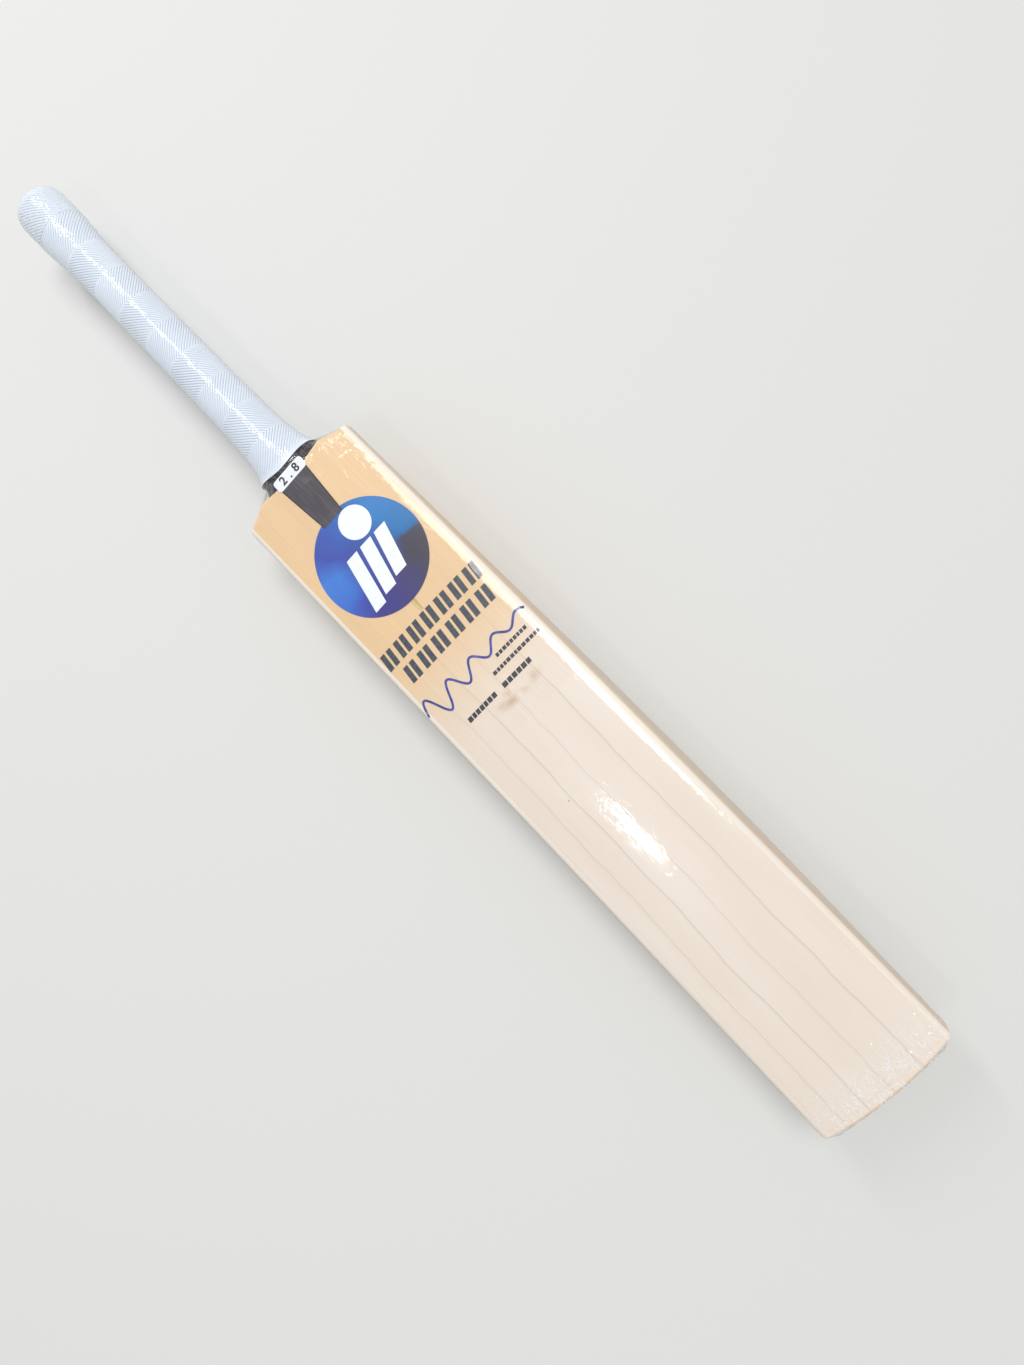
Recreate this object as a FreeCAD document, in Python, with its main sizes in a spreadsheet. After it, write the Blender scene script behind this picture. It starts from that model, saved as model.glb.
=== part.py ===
# Cricket bat: a willow blade with a spliced handle of cane slips and rubber inserts, bound and gripped.
#
# The bat lies on its back. +Y runs from the toe to the handle's end, +Z points out of the face and +X is
# to the right of somebody who looks at the face with the handle up. The origin is below the middle of the
# bat, on the surface that the spine rests on. Lengths are millimetres.
import FreeCAD, Part
import math
import os

import Sketcher
from FreeCAD import Placement, Rotation, Vector

# Driving dimensions. "_at" is a distance from the toe, measured along the bat.
SIZES = {
    "overall_length": 856.0,
    "shoulder_at": 558.0,
    # blade section
    "camber": 3.0,
    "face_roll": 5.0,
    "edge_round": 4.0,
    "ridge_half": 5.5,
    "ridge_flank": 6.0,
    "ridge_share": 0.15,
    "hollow_share": 0.13,
    # blade outline
    "outline_half": 53.06,
    "toe_crown": 3.2,
    "toe_corner": 4.2,
    "shoulder_half": 51.0,
    "shoulder_rise": 6.0,
    "shoulder_neck_half": 30.0,
    "shoulder_dip": 3.5,
    "shoulder_bow": 75.0,
    "shoulder_corner": 3.0,
    "shoulder_corner_radius": 4.2,
    # splice
    "splice_tip_at": 430.0,
    "splice_tip_half": 1.6,
    "splice_half": 12.9,
    # handle
    "handle_height": 46.7,
    "neck_top_at": 620.0,
    "cane_end_at": 853.5,
    "slip_half": 5.1,
    "insert_thick": 1.6,
    "inner_slip_deep": 6.5,
    "binding_thick": 0.8,
    "binding_from": 561.0,
    "twine_thick": 0.6,
    "twine_end_at": 846.0,
    "grip_hole": 11.0,
    # labels and sheet
    "skin": 0.25,
    "sheet_half": 46.8,
    "sheet_from": 7.0,
    "sheet_to": 327.0,
    "badge_at": 481.0,
    "badge_radius": 41.3,
    "cover_from": 470.0,
    "label_at": 562.5,
    "label_half": 13.0,
    "label_tall": 9.0,
    "label_sink": 0.4,
    "label_thick": 1.2,
}

# name: distance from the toe, half width, height of the face, height of the side, height of the spine
BLADE_STATIONS = {
    "foot": (-2.0, 53.0, 67.3, 18.5, 41.5),
    "lower": (55.0, 53.0, 65.4, 25.0, 26.0),
    "rise": (110.0, 53.0, 64.0, 31.0, 9.0),
    "swell_start": (165.0, 52.9, 62.9, 35.5, 0.5),
    "swell": (240.0, 52.7, 62.0, 37.0, -0.6),
    "swell_end": (315.0, 52.4, 62.3, 35.0, 0.5),
    "upper": (390.0, 52.0, 63.3, 29.5, 8.5),
    "approach": (470.0, 51.5, 65.0, 23.0, 19.5),
    "head": (545.0, 51.0, 66.7, 17.5, 26.8),
    "blank": (575.0, 51.0, 67.2, 16.0, 28.5),
}

# distance from the toe, half width, half depth: the willow neck that runs up both sides of the cane
NECK_OVALS = [
    (548.0, 31.0, 19.9),
    (561.0, 30.0, 19.3),
    (566.0, 27.2, 18.6),
    (572.0, 24.0, 17.9),
    (579.0, 20.9, 17.2),
    (586.0, 19.0, 16.7),
    (594.0, 17.9, 16.2),
    (605.0, 17.0, 15.8),
    (620.0, 16.4, 15.4),
]

# the turned cane, from the top of the neck to the handle's end
CANE_OVALS = [
    (620.0, 15.9, 15.3),
    (660.0, 15.4, 15.2),
    (720.0, 15.1, 15.0),
    (790.0, 14.9, 14.8),
    (806.0, 15.3, 15.2),
    (818.0, 16.2, 16.1),
    (830.0, 16.7, 16.6),
    (853.5, 16.7, 16.6),
]

# the grip's outside, from its flared lower edge to its rolled upper end
GRIP_OVALS = [
    (571.0, 26.3, 20.6),
    (579.0, 23.0, 19.8),
    (586.0, 21.1, 19.2),
    (594.0, 19.9, 18.6),
    (605.0, 18.9, 18.1),
    (620.0, 18.2, 17.6),
    (660.0, 17.4, 17.2),
    (720.0, 17.0, 16.9),
    (780.0, 16.7, 16.6),
    (798.0, 16.8, 16.7),
    (810.0, 18.3, 18.2),
    (822.0, 19.3, 19.2),
    (848.0, 19.4, 19.3),
    (854.0, 18.6, 18.5),
    (856.0, 17.0, 16.9),
]

OVALS = {"neck": NECK_OVALS, "cane": CANE_OVALS, "grip": GRIP_OVALS}

DEEP = 90.0  # through the whole depth of the bat
WIDE = 140.0  # across the whole width of the bat
SPARE = 5.0  # how far a cutting block reaches past what it cuts

document = FreeCAD.newDocument("cricket_bat")
sheet = document.addObject("Spreadsheet::Sheet", "sizes")
sheet_values = {}


class Dim:
    """A length as a number, with the sheet expression that gives the same number."""

    def __init__(self, number, text):
        self.number = number
        self.text = text

    def __add__(self, other):
        other = as_dim(other)
        return Dim(self.number + other.number, f"({self.text} + {other.text})")

    def __sub__(self, other):
        other = as_dim(other)
        return Dim(self.number - other.number, f"({self.text} - {other.text})")

    def __mul__(self, other):
        other = as_dim(other)
        return Dim(self.number * other.number, f"({self.text} * {other.text})")

    def __truediv__(self, other):
        other = as_dim(other)
        return Dim(self.number / other.number, f"({self.text} / {other.text})")


def as_dim(value):
    """A Dim from a plain number, or the Dim itself."""
    return value if isinstance(value, Dim) else Dim(float(value), repr(float(value)))


def size(alias):
    """The driving dimension with this alias."""
    return Dim(float(sheet_values[alias]), f"sizes.{alias}")


def write_sheet(values):
    """Adds these values to the sheet, one row each, with their names as aliases."""
    for alias, value in values.items():
        row = len(sheet_values) + 1
        sheet.set(f"A{row}", alias)
        sheet.set(f"B{row}", repr(value))
        sheet.setAlias(f"B{row}", alias)
        sheet_values[alias] = value


def write_stations():
    """Adds the blade's stations and the handle's ovals to the sheet."""
    for name, (at, half_width, crown, side, spine) in BLADE_STATIONS.items():
        write_sheet(
            {
                f"{name}_at": at,
                f"{name}_half_width": half_width,
                f"{name}_crown": crown,
                f"{name}_side": side,
                f"{name}_spine": spine,
            }
        )
    for family, ovals in OVALS.items():
        for index, (at, half_width, half_depth) in enumerate(ovals):
            key = f"{family}_oval{index}"
            write_sheet({f"{key}_at": at, f"{key}_wide": half_width, f"{key}_deep": half_depth})


def along(at):
    """The row's Y of a place that lies this far from the toe."""
    return at - size("overall_length") / 2


def bind(thing, settings):
    """Binds each property of an object to its Dim."""
    for name, dim in settings.items():
        thing.setExpression(name, as_dim(dim).text)


def new_object(kind, name, **links):
    """A document object with its label and its linked inputs set."""
    thing = document.addObject(kind, name)
    thing.Label = name
    for key, value in links.items():
        setattr(thing, key, value)
    return thing


def cut(name, base, tool):
    """The base without the tool."""
    return new_object("Part::Cut", name, Base=base, Tool=tool)


def common(name, base, tool):
    """What two shapes share."""
    return new_object("Part::Common", name, Base=base, Tool=tool)


def fuse(name, *shapes):
    """All these shapes as one."""
    return new_object("Part::MultiFuse", name, Shapes=list(shapes))


def box(name, low, high):
    """A box between two corners, each given as three Dims or numbers."""
    low = [as_dim(value) for value in low]
    high = [as_dim(value) for value in high]
    block = new_object("Part::Box", name)
    bind(block, dict(zip(("Length", "Width", "Height"), (b - a for a, b in zip(low, high)))))
    bind(block, {f"Placement.Base.{axis}": value for axis, value in zip("xyz", low)})
    return block


def origin_plane(body, role):
    """One of a body's own origin planes."""
    return next(plane for plane in body.Origin.OriginFeatures if plane.Role == role)


def new_sketch(body, name, plane, offset=None):
    """A sketch on one of a body's origin planes, moved along the plane's normal by an offset."""
    sketch = body.newObject("Sketcher::SketchObject", name)
    sketch.AttachmentSupport = [(origin_plane(body, plane), "")]
    sketch.MapMode = "FlatFace"
    if offset is not None:
        sketch.setExpression("AttachmentOffset.Base.z", offset.text)
    return sketch


class Outline:
    """A closed run of lines and arcs in a sketch, with each corner tied to the sheet."""

    def __init__(self, sketch, start):
        self.sketch = sketch
        self.here = start
        self.pieces = []

    def vector(self, point):
        """The sketch place of a pair of Dims."""
        return Vector(point[0].number, point[1].number, 0)

    def line(self, point):
        """Adds a straight edge to a point."""
        edge = Part.LineSegment(self.vector(self.here), self.vector(point))
        self.pieces.append((self.sketch.addGeometry(edge, False), self.here, point, None))
        self.here = point

    def arc(self, point, radius, bulge_left):
        """Adds an arc of under half a turn to a point, which bulges to the left or the right of its way."""
        first = self.vector(self.here)
        last = self.vector(point)
        chord = last - first
        reach = radius.number
        drop = reach - math.sqrt(max(reach**2 - (chord.Length / 2) ** 2, 0.0))
        side = Vector(-chord.y, chord.x, 0).normalize() * (drop if bulge_left else -drop)
        edge = Part.Arc(first, (first + last) * 0.5 + side, last)
        self.pieces.append((self.sketch.addGeometry(edge, False), self.here, point, radius))
        self.here = point

    def end_of(self, index, point):
        """Which end of an edge lies at a point: 1 for its start or 2 for its end."""
        place = self.vector(point)
        gaps = [(self.sketch.getPoint(index, end) - place).Length for end in (1, 2)]
        return 1 if gaps[0] < gaps[1] else 2

    def tie(self, kind, references, dim):
        """Adds a measured constraint and binds it to its Dim."""
        number = self.sketch.addConstraint(Sketcher.Constraint(kind, *references, dim.number))
        self.sketch.setExpression(f"Constraints[{number}]", dim.text)

    def close(self):
        """Joins the edges end to end and ties every corner and radius."""
        for place, (index, start, _, radius) in enumerate(self.pieces):
            before, _, before_end, _ = self.pieces[place - 1]
            joint = (before, self.end_of(before, before_end), index, self.end_of(index, start))
            self.sketch.addConstraint(Sketcher.Constraint("Coincident", *joint))
            corner = (-1, 1, index, self.end_of(index, start))
            self.tie("DistanceX", corner, start[0])
            self.tie("DistanceY", corner, start[1])
            if radius is not None:
                self.tie("Radius", (index,), radius)


def chord_radius(chord_squared, sagitta):
    """The radius of an arc from the square of its chord and its sagitta."""
    return chord_squared / (sagitta * 8) + sagitta / 2


def mirrored(point):
    """A point on the other side of the bat's middle plane."""
    return (as_dim(0) - point[0], point[1])


def blade_section(body, name):
    """The blade's section at a station: cambered face, rolled edges, hollowed back and a spine."""
    half = size(f"{name}_half_width")
    shoulder_height = size(f"{name}_crown") - size("camber")
    side_foot = shoulder_height - size(f"{name}_side")
    spine = size(f"{name}_spine")
    fall = side_foot - spine
    rise = fall * size("ridge_share")
    sag = fall * size("hollow_share")
    roll = size("face_roll")
    corner = size("edge_round")
    face_end = (half - roll, shoulder_height)
    side_top = (half, shoulder_height - roll)
    side_low = (half, side_foot + corner)
    back_start = (half - corner, side_foot)
    flank = (size("ridge_half") + size("ridge_flank"), spine + rise)
    ridge = (size("ridge_half"), spine)
    run = back_start[0] - flank[0]
    drop = back_start[1] - flank[1]
    face_radius = chord_radius(face_end[0] * face_end[0] * 4, size("camber"))
    hollow_radius = chord_radius(run * run + drop * drop, sag)
    flank_run = size("ridge_flank")
    ridge_radius = (flank_run * flank_run + rise * rise) / (rise * 2)

    sketch = new_sketch(body, f"{name}_section", "XZ_Plane", as_dim(0) - along(size(f"{name}_at")))
    outline = Outline(sketch, mirrored(face_end))
    outline.arc(face_end, face_radius, True)
    outline.arc(side_top, roll, True)
    outline.line(side_low)
    outline.arc(back_start, corner, True)
    outline.arc(flank, hollow_radius, False)
    outline.arc(ridge, ridge_radius, True)
    outline.line(mirrored(ridge))
    outline.arc(mirrored(flank), ridge_radius, True)
    outline.arc(mirrored(back_start), hollow_radius, False)
    outline.arc(mirrored(side_low), corner, True)
    outline.line(mirrored(side_top))
    outline.arc(mirrored(face_end), roll, True)
    outline.close()
    return sketch


def blade_blank():
    """The shaped blade before its ends are cut: one loft through all stations."""
    body = new_object("PartDesign::Body", "blade_blank")
    sections = [blade_section(body, name) for name in BLADE_STATIONS]
    loft = body.newObject("PartDesign::AdditiveLoft", "blade_loft")
    loft.Profile = sections[0]
    loft.Sections = sections[1:]
    loft.Ruled = False
    return body


def flat_prism(name, draw):
    """A prism through the bat's whole depth over a plan outline, which draw adds to the sketch."""
    body = new_object("PartDesign::Body", name)
    sketch = new_sketch(body, f"{name}_plan", "XY_Plane")
    draw(sketch)
    pad = body.newObject("PartDesign::Pad", f"{name}_pad")
    pad.Profile = sketch
    pad.Length = DEEP
    return body


def draw_blade_plan(sketch):
    """The blade from above: crowned toe, straight sides and shoulders that rise to the neck."""
    half = size("outline_half")
    corner = size("toe_corner")
    crown = size("toe_crown")
    toe_radius = chord_radius((half - corner) * (half - corner) * 4, crown)
    toe = along(as_dim(0)) + crown
    shoulder = along(size("shoulder_at"))
    lip = size("shoulder_corner")
    top = shoulder + size("shoulder_rise")
    toe_end = (half - corner, toe)
    side_start = (half, toe + corner)
    side_end = (half, shoulder - lip - (half - size("shoulder_half")))
    shoulder_start = (size("shoulder_half") - lip, shoulder)
    neck = (size("shoulder_neck_half"), top)
    splice = (size("splice_half"), shoulder + size("shoulder_dip"))
    outline = Outline(sketch, mirrored(toe_end))
    outline.arc(toe_end, toe_radius, False)
    outline.arc(side_start, corner, False)
    outline.line(side_end)
    outline.arc(shoulder_start, size("shoulder_corner_radius"), False)
    outline.arc(neck, size("shoulder_bow"), True)
    for point in (splice, mirrored(splice), mirrored(neck)):
        outline.line(point)
    outline.arc(mirrored(shoulder_start), size("shoulder_bow"), True)
    outline.arc(mirrored(side_end), size("shoulder_corner_radius"), False)
    outline.line(mirrored(side_start))
    outline.arc(mirrored(toe_end), corner, False)
    outline.close()


def oval_loft(name, family, grow=0.0):
    """A solid loft through a family's ovals round the handle's axis, grown all round."""
    sections = []
    for index in range(len(OVALS[family])):
        key = f"{family}_oval{index}"
        oval = new_object("Part::Ellipse", f"{name}_oval{index}")
        oval.Placement = Placement(Vector(), Rotation(Vector(1, 0, 0), 90))
        bind(
            oval,
            {
                "MajorRadius": size(f"{key}_wide") + grow,
                "MinorRadius": size(f"{key}_deep") + grow,
                "Placement.Base.y": along(size(f"{key}_at")),
                "Placement.Base.z": size("handle_height"),
            },
        )
        sections.append(oval)
    return new_object("Part::Loft", name, Sections=sections, Solid=True, Ruled=True)


def lifted(name, shape):
    """A copy of a shape, raised by the thickness of a label."""
    copy = new_object("Part::Compound", name, Links=[shape])
    copy.setExpression("Placement.Base.z", "sizes.skin")
    return copy


def skin_piece(name, plan, base, raised, gaps=()):
    """A thin piece that lies on the base inside a plan prism, without the prisms of what butts it."""
    body = common(f"{name}_raised", raised, plan)
    for index, gap in enumerate(gaps):
        body = cut(f"{name}_trim{index}", body, gap)
    return cut(name, body, base)


def prism(name, corners):
    """A prism through the bat's depth over a polygon of corner points."""

    def draw(sketch):
        outline = Outline(sketch, corners[0])
        for corner in corners[1:] + corners[:1]:
            outline.line(corner)
        outline.close()

    return flat_prism(name, draw)


def splice_half_at(at):
    """Half the splice's width at a place below the shoulders."""
    slope = (size("splice_half") - size("splice_tip_half")) / (size("shoulder_at") - size("splice_tip_at"))
    return size("splice_half") - slope * (size("shoulder_at") - at)


def splice_prism(name, low, high):
    """A prism over the splice between two places: a long V, with straight sides above the shoulders."""
    corners = [
        (splice_half_at(low), along(low)),
        (size("splice_half"), along(size("shoulder_at"))),
        (size("splice_half"), along(high)),
    ]
    corners += [mirrored(corner) for corner in reversed(corners)]
    return prism(name, corners)


def disc(name, at, radius):
    """An upright cylinder through the bat's whole depth, on the middle line."""
    cylinder = new_object("Part::Cylinder", name)
    bind(cylinder, {"Radius": radius, "Placement.Base.y": along(at)})
    cylinder.Height = DEEP
    return cylinder


def make_handle_blank(whole, slot):
    """The glued handle before it is split into its slips: the splice wedge and the turned cane."""
    wedge = common("splice_wedge", whole, slot)
    return fuse("handle_blank", wedge, oval_loft("turned_cane", "cane"))


def layer_bounds():
    """The low and high height of each cane layer."""
    middle = size("handle_height")
    gap = size("insert_thick") / 2
    inner = gap + size("inner_slip_deep")
    outer = inner + size("insert_thick")
    return {
        "back": (as_dim(-SPARE), middle - outer),
        "inner_back": (middle - inner, middle - gap),
        "inner_front": (middle + gap, middle + inner),
        "front": (middle + outer, as_dim(DEEP)),
    }


def make_slips(blank):
    """Twelve cane slips: four layers from back to front, each of three strips side by side."""
    start = along(size("splice_tip_at")) - SPARE
    end = along(size("overall_length")) + SPARE
    split = size("slip_half")
    side = as_dim(WIDE / 2)
    zero = as_dim(0)
    columns = {"left": (zero - side, zero - split), "middle": (zero - split, split), "right": (split, side)}
    slips = []
    for layer, (low, high) in layer_bounds().items():
        for column, (left, right) in columns.items():
            name = f"cane_slip_{layer}_{column}"
            stock = box(f"{name}_stock", (left, start, low), (right, end, high))
            slips.append(common(name, blank, stock))
    return slips


def make_inserts(blank):
    """The three rubber inserts that lie between the cane layers and let them slide when the bat hits."""
    start = along(size("splice_tip_at")) - SPARE
    end = along(size("overall_length")) + SPARE
    side = as_dim(WIDE / 2)
    bounds = list(layer_bounds().values())
    inserts = []
    for place, below, above in zip(("back", "middle", "front"), bounds, bounds[1:]):
        name = f"rubber_insert_{place}"
        stock = box(f"{name}_stock", (as_dim(0) - side, start, below[1]), (side, end, above[0]))
        inserts.append(common(name, blank, stock))
    return inserts


def slab(name, start, end):
    """A block across the bat between two places along it."""
    return box(name, (-WIDE / 2, along(start), -SPARE), (WIDE / 2, along(end), DEEP))


def make_wrappings(whole, neck_cover):
    """The binding round the neck, the twine round the cane and the grip over both."""
    cane = oval_loft("cane_core", "cane")
    top = size("neck_top_at")
    binding_zone = slab("binding_zone", size("binding_from"), top)
    binding = cut("shoulder_binding", common("binding_body", neck_cover, binding_zone), whole)
    twine_cover = oval_loft("twine_cover", "cane", size("twine_thick"))
    twine_body = common("twine_body", twine_cover, slab("twine_zone", top, size("twine_end_at")))
    twine = cut("handle_twine", twine_body, cane)
    under_grip = fuse("under_grip", neck_cover, twine_body, cane)
    grip_shell = cut("grip_shell", oval_loft("grip_outer", "grip"), under_grip)
    hole = new_object("Part::Cylinder", "grip_hole")
    hole.Placement = Placement(Vector(), Rotation(Vector(1, 0, 0), -90))
    hole.Height = SPARE * 2
    bind(
        hole,
        {
            "Radius": size("grip_hole"),
            "Placement.Base.y": along(size("cane_end_at")),
            "Placement.Base.z": size("handle_height"),
        },
    )
    return [binding, twine, cut("rubber_grip", grip_shell, hole)]


def make_labels(whole, neck_cover):
    """The thin pieces stuck to the face: facing sheet, round badge, splice cover and weight label."""
    surface = fuse("labelled_surface", whole, neck_cover)
    raised = lifted("raised_surface", surface)
    half = size("sheet_half")
    low = (as_dim(0) - half, along(size("sheet_from")), as_dim(DEEP / 2))
    sheet_plan = box("face_sheet_plan", low, (half, along(size("sheet_to")), as_dim(DEEP)))
    badge_plan = disc("badge_plan", size("badge_at"), size("badge_radius"))
    label_half = size("label_half")
    label_tall = size("label_tall") / 2
    label_base = size("head_crown") - size("label_sink")
    label_plan = box(
        "weight_label_plan",
        (as_dim(0) - label_half, along(size("label_at")) - label_tall, label_base),
        (label_half, along(size("label_at")) + label_tall, label_base + size("label_thick")),
    )
    cover_plan = splice_prism("splice_cover_plan", size("cover_from"), size("binding_from"))
    return [
        skin_piece("face_sheet", sheet_plan, surface, raised),
        skin_piece("badge", badge_plan, surface, raised),
        skin_piece("splice_cover", cover_plan, surface, raised, (badge_plan, label_plan)),
        cut("weight_label", label_plan, surface),
    ]


def check(pieces):
    """Stops if an object failed to build or a piece isn't one sound solid."""
    for thing in document.Objects:
        if "Invalid" in thing.State or "Error" in thing.State:
            raise RuntimeError(f"{thing.Label} failed: {thing.State}")
    for piece in pieces:
        shape = piece.Shape
        if shape.isNull() or not shape.isValid() or len(shape.Solids) != 1:
            raise RuntimeError(f"{piece.Label} has no sound shape")


def main():
    """Builds every piece and writes one STEP file for each."""
    write_sheet(SIZES)
    write_stations()
    document.recompute()
    shaped = common("blade_shaped", blade_blank(), flat_prism("blade_plan", draw_blade_plan))
    whole = fuse("blade_whole", shaped, oval_loft("neck", "neck"))
    slot = splice_prism("splice_slot", size("splice_tip_at"), size("neck_top_at") + SPARE)
    handle_blank = make_handle_blank(whole, slot)
    neck_cover = oval_loft("neck_cover", "neck", size("binding_thick"))
    pieces = [cut("blade", whole, slot)]
    pieces += make_slips(handle_blank)
    pieces += make_inserts(handle_blank)
    pieces += make_wrappings(whole, neck_cover)
    pieces += make_labels(whole, neck_cover)
    document.recompute()
    for piece in pieces:
        bounds = piece.Shape.optimalBoundingBox(False, False)
        spans = [round(span, 1) for span in (bounds.XLength, bounds.YLength, bounds.ZLength)]
        print(piece.Label, spans, round(piece.Shape.Volume))
    check(pieces)
    os.makedirs("parts", exist_ok=True)
    for piece in pieces:
        piece.Shape.exportStep(f"parts/{piece.Label}.step")


main()
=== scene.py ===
"""The looks of a cricket bat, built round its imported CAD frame.

The bat lies on its back, face up: +Y runs from the toe to the handle and +X to the right of the face.
Places along the bat are given as millimetres from the toe, as a bat maker measures them, and the sizes
that the classes hold are millimetres too. Points and CAD sizes are metres.
"""

import logging
import math
import random
from dataclasses import dataclass, field
from enum import Enum
from typing import Any, Callable, Sequence

import bpy
import numpy as np
from bpy.types import Material, Node, NodeSocket, NodeTree, Object
from mathutils import Matrix, Vector
from mathutils.bvhtree import BVHTree


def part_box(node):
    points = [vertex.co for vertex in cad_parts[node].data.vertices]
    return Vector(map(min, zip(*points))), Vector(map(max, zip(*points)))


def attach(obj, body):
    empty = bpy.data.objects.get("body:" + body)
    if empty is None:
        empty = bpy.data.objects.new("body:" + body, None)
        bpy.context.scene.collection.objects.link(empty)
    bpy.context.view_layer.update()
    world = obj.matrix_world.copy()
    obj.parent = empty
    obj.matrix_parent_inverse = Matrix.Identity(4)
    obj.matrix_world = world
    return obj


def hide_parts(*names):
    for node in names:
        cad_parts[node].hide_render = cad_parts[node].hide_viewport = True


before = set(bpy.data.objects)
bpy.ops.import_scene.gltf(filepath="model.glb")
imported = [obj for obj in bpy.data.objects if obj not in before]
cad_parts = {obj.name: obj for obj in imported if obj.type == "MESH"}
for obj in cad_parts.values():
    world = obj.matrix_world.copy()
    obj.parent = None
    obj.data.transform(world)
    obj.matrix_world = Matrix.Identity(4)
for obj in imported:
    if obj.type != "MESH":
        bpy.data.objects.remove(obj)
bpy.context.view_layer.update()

MM = 0.001
WELD = 0.01 * MM
BODY = "root"
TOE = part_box("blade")[0].y
GRIP_LOW, GRIP_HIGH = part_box("rubber_grip")
AXIS_HEIGHT = (GRIP_LOW.z + GRIP_HIGH.z) / 2
BLADE_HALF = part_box("blade")[1].x
SKY = 0.3

log = logging.getLogger("bat")
Place = Callable[[float, float], Vector]
Colour = tuple[float, float, float, float]
Stops = Sequence[tuple[float, Colour]]


class Slot(Enum):
    """The record's material slots that the new pieces' materials stand for."""

    BINDING = "binding"
    GRIP = "grip_rubber"
    FACING = "facing"
    BADGE = "badge_print"
    COVER = "cover_print"
    LABEL = "label_paper"


class RibTurn(Enum):
    """Which way the ribs of one band of the grip run round the handle."""

    LEFT = -1
    RIGHT = 1


# --- small helpers -------------------------------------------------------------------------------


def along(distance: float) -> float:
    """Y of a place that is so many millimetres from the toe."""
    return TOE + distance * MM


def linear(colour: str) -> Colour:
    """Turn an sRGB hex colour to linear red, green, blue and alpha.

    Args:
        colour: a hex colour such as "#F2D3A4".

    Returns:
        Four linear values from 0 to 1.
    """
    parts = [int(colour[i:i + 2], 16) / 255 for i in (1, 3, 5)]
    red, green, blue = (p / 12.92 if p <= 0.04045 else ((p + 0.055) / 1.055) ** 2.4 for p in parts)
    return red, green, blue, 1.0


def grey(value: float) -> Colour:
    """A grey of that linear value, for masks made by a colour ramp."""
    return value, value, value, 1.0


def scales(*sizes: float) -> tuple[float, ...]:
    """Scales of a pattern whose cells have those sizes in millimetres along x, y and z."""
    return tuple(1 / (size * MM) for size in sizes)


def plug(node: Node, inputs: dict[Any, Any]) -> None:
    """Set a node's inputs: a socket is linked, and anything else becomes the input's own value.

    Args:
        node: the node to set.
        inputs: input name or number to a value, or to the socket that feeds it.
    """
    for key, value in inputs.items():
        if isinstance(value, NodeSocket):
            node.id_data.links.new(value, node.inputs[key])
        else:
            node.inputs[key].default_value = value


def add(tree: NodeTree, kind: str, inputs: dict[Any, Any] | None = None, output: Any = 0,
        stops: Stops = (), **settings: Any) -> NodeSocket:
    """Add a node with its settings and links.

    Args:
        tree: the node tree that gets the node.
        kind: the node's type name, without the word ShaderNode.
        inputs: input name or number to a value, or to the socket that feeds it.
        output: name or number of the output that is handed back.
        stops: position and colour of each stop, for a colour ramp.
        settings: the node's own properties.

    Returns:
        The chosen output socket.
    """
    node = tree.nodes.new("ShaderNode" + kind)
    for key, value in settings.items():
        setattr(node, key, value)
    plug(node, inputs or {})
    for number, (position, colour) in enumerate(stops):
        ramp = node.color_ramp.elements
        stop = ramp[number] if number < len(ramp) else ramp.new(1.0)
        stop.position = position
        stop.color = colour
    return node.outputs[output]


def new_material(name: str) -> tuple[Material, NodeTree, Node]:
    """Make a material.

    Args:
        name: the material's name, after what the real one is.

    Returns:
        The material, its node tree and its Principled shader.
    """
    material = bpy.data.materials.new(name)
    material.use_nodes = True
    return material, material.node_tree, material.node_tree.nodes["Principled BSDF"]


def deselect() -> None:
    """Deselect every object, because operators act on all that is selected."""
    bpy.ops.object.select_all(action="DESELECT")


def only(obj: Object) -> None:
    """Make an object the one that operators act on.

    Args:
        obj: the object.
    """
    deselect()
    obj.select_set(True)
    bpy.context.view_layer.objects.active = obj


def in_edit(obj: Object, *steps: Callable[[], Any]) -> None:
    """Run some steps on all of an object's mesh in edit mode.

    Args:
        obj: the object.
        steps: calls of operators, in order.
    """
    only(obj)
    bpy.ops.object.mode_set(mode="EDIT")
    bpy.ops.mesh.select_all(action="SELECT")
    for step in steps:
        step()
    bpy.ops.object.mode_set(mode="OBJECT")


def modify(obj: Object, kind: str, **settings: Any) -> None:
    """Add a modifier with its settings and apply it.

    Args:
        obj: the object.
        kind: the modifier's type.
        settings: the modifier's own properties.
    """
    only(obj)
    modifier = obj.modifiers.new(kind.lower(), kind)
    for key, value in settings.items():
        setattr(modifier, key, value)
    bpy.ops.object.modifier_apply(modifier=modifier.name)


def grid(name: str, columns: int, rows: int, place: Place, closed: bool = False) -> Object:
    """Add a grid and lay its points out on a surface.

    Args:
        name: the piece's name.
        columns: number of faces across.
        rows: number of faces along.
        place: gives the point for a share of the way across and along, each from 0 to 1.
        closed: whether the grid's two sides meet, as round a tube.

    Returns:
        The new object, at the origin.
    """
    deselect()
    bpy.ops.mesh.primitive_grid_add(x_subdivisions=columns, y_subdivisions=rows, size=1)
    obj = bpy.context.object
    obj.name = obj.data.name = name
    for vertex in obj.data.vertices:
        vertex.co = place(vertex.co.x + 0.5, vertex.co.y + 0.5)
    if closed:
        in_edit(obj, lambda: bpy.ops.mesh.remove_doubles(threshold=WELD))
    return obj


def outwards(obj: Object) -> None:
    """Turn all faces of a closed shape outwards."""
    in_edit(obj, lambda: bpy.ops.mesh.normals_make_consistent(inside=False))


def outwards_up(obj: Object) -> None:
    """Turn an open sheet so that its faces look up."""
    if sum(face.normal.z for face in obj.data.polygons) < 0:
        in_edit(obj, lambda: bpy.ops.mesh.flip_normals())


def smooth(obj: Object, degrees: float = 35) -> None:
    """Shade an object smooth, apart from edges sharper than an angle."""
    only(obj)
    bpy.ops.object.shade_smooth_by_angle(angle=math.radians(degrees))


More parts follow.
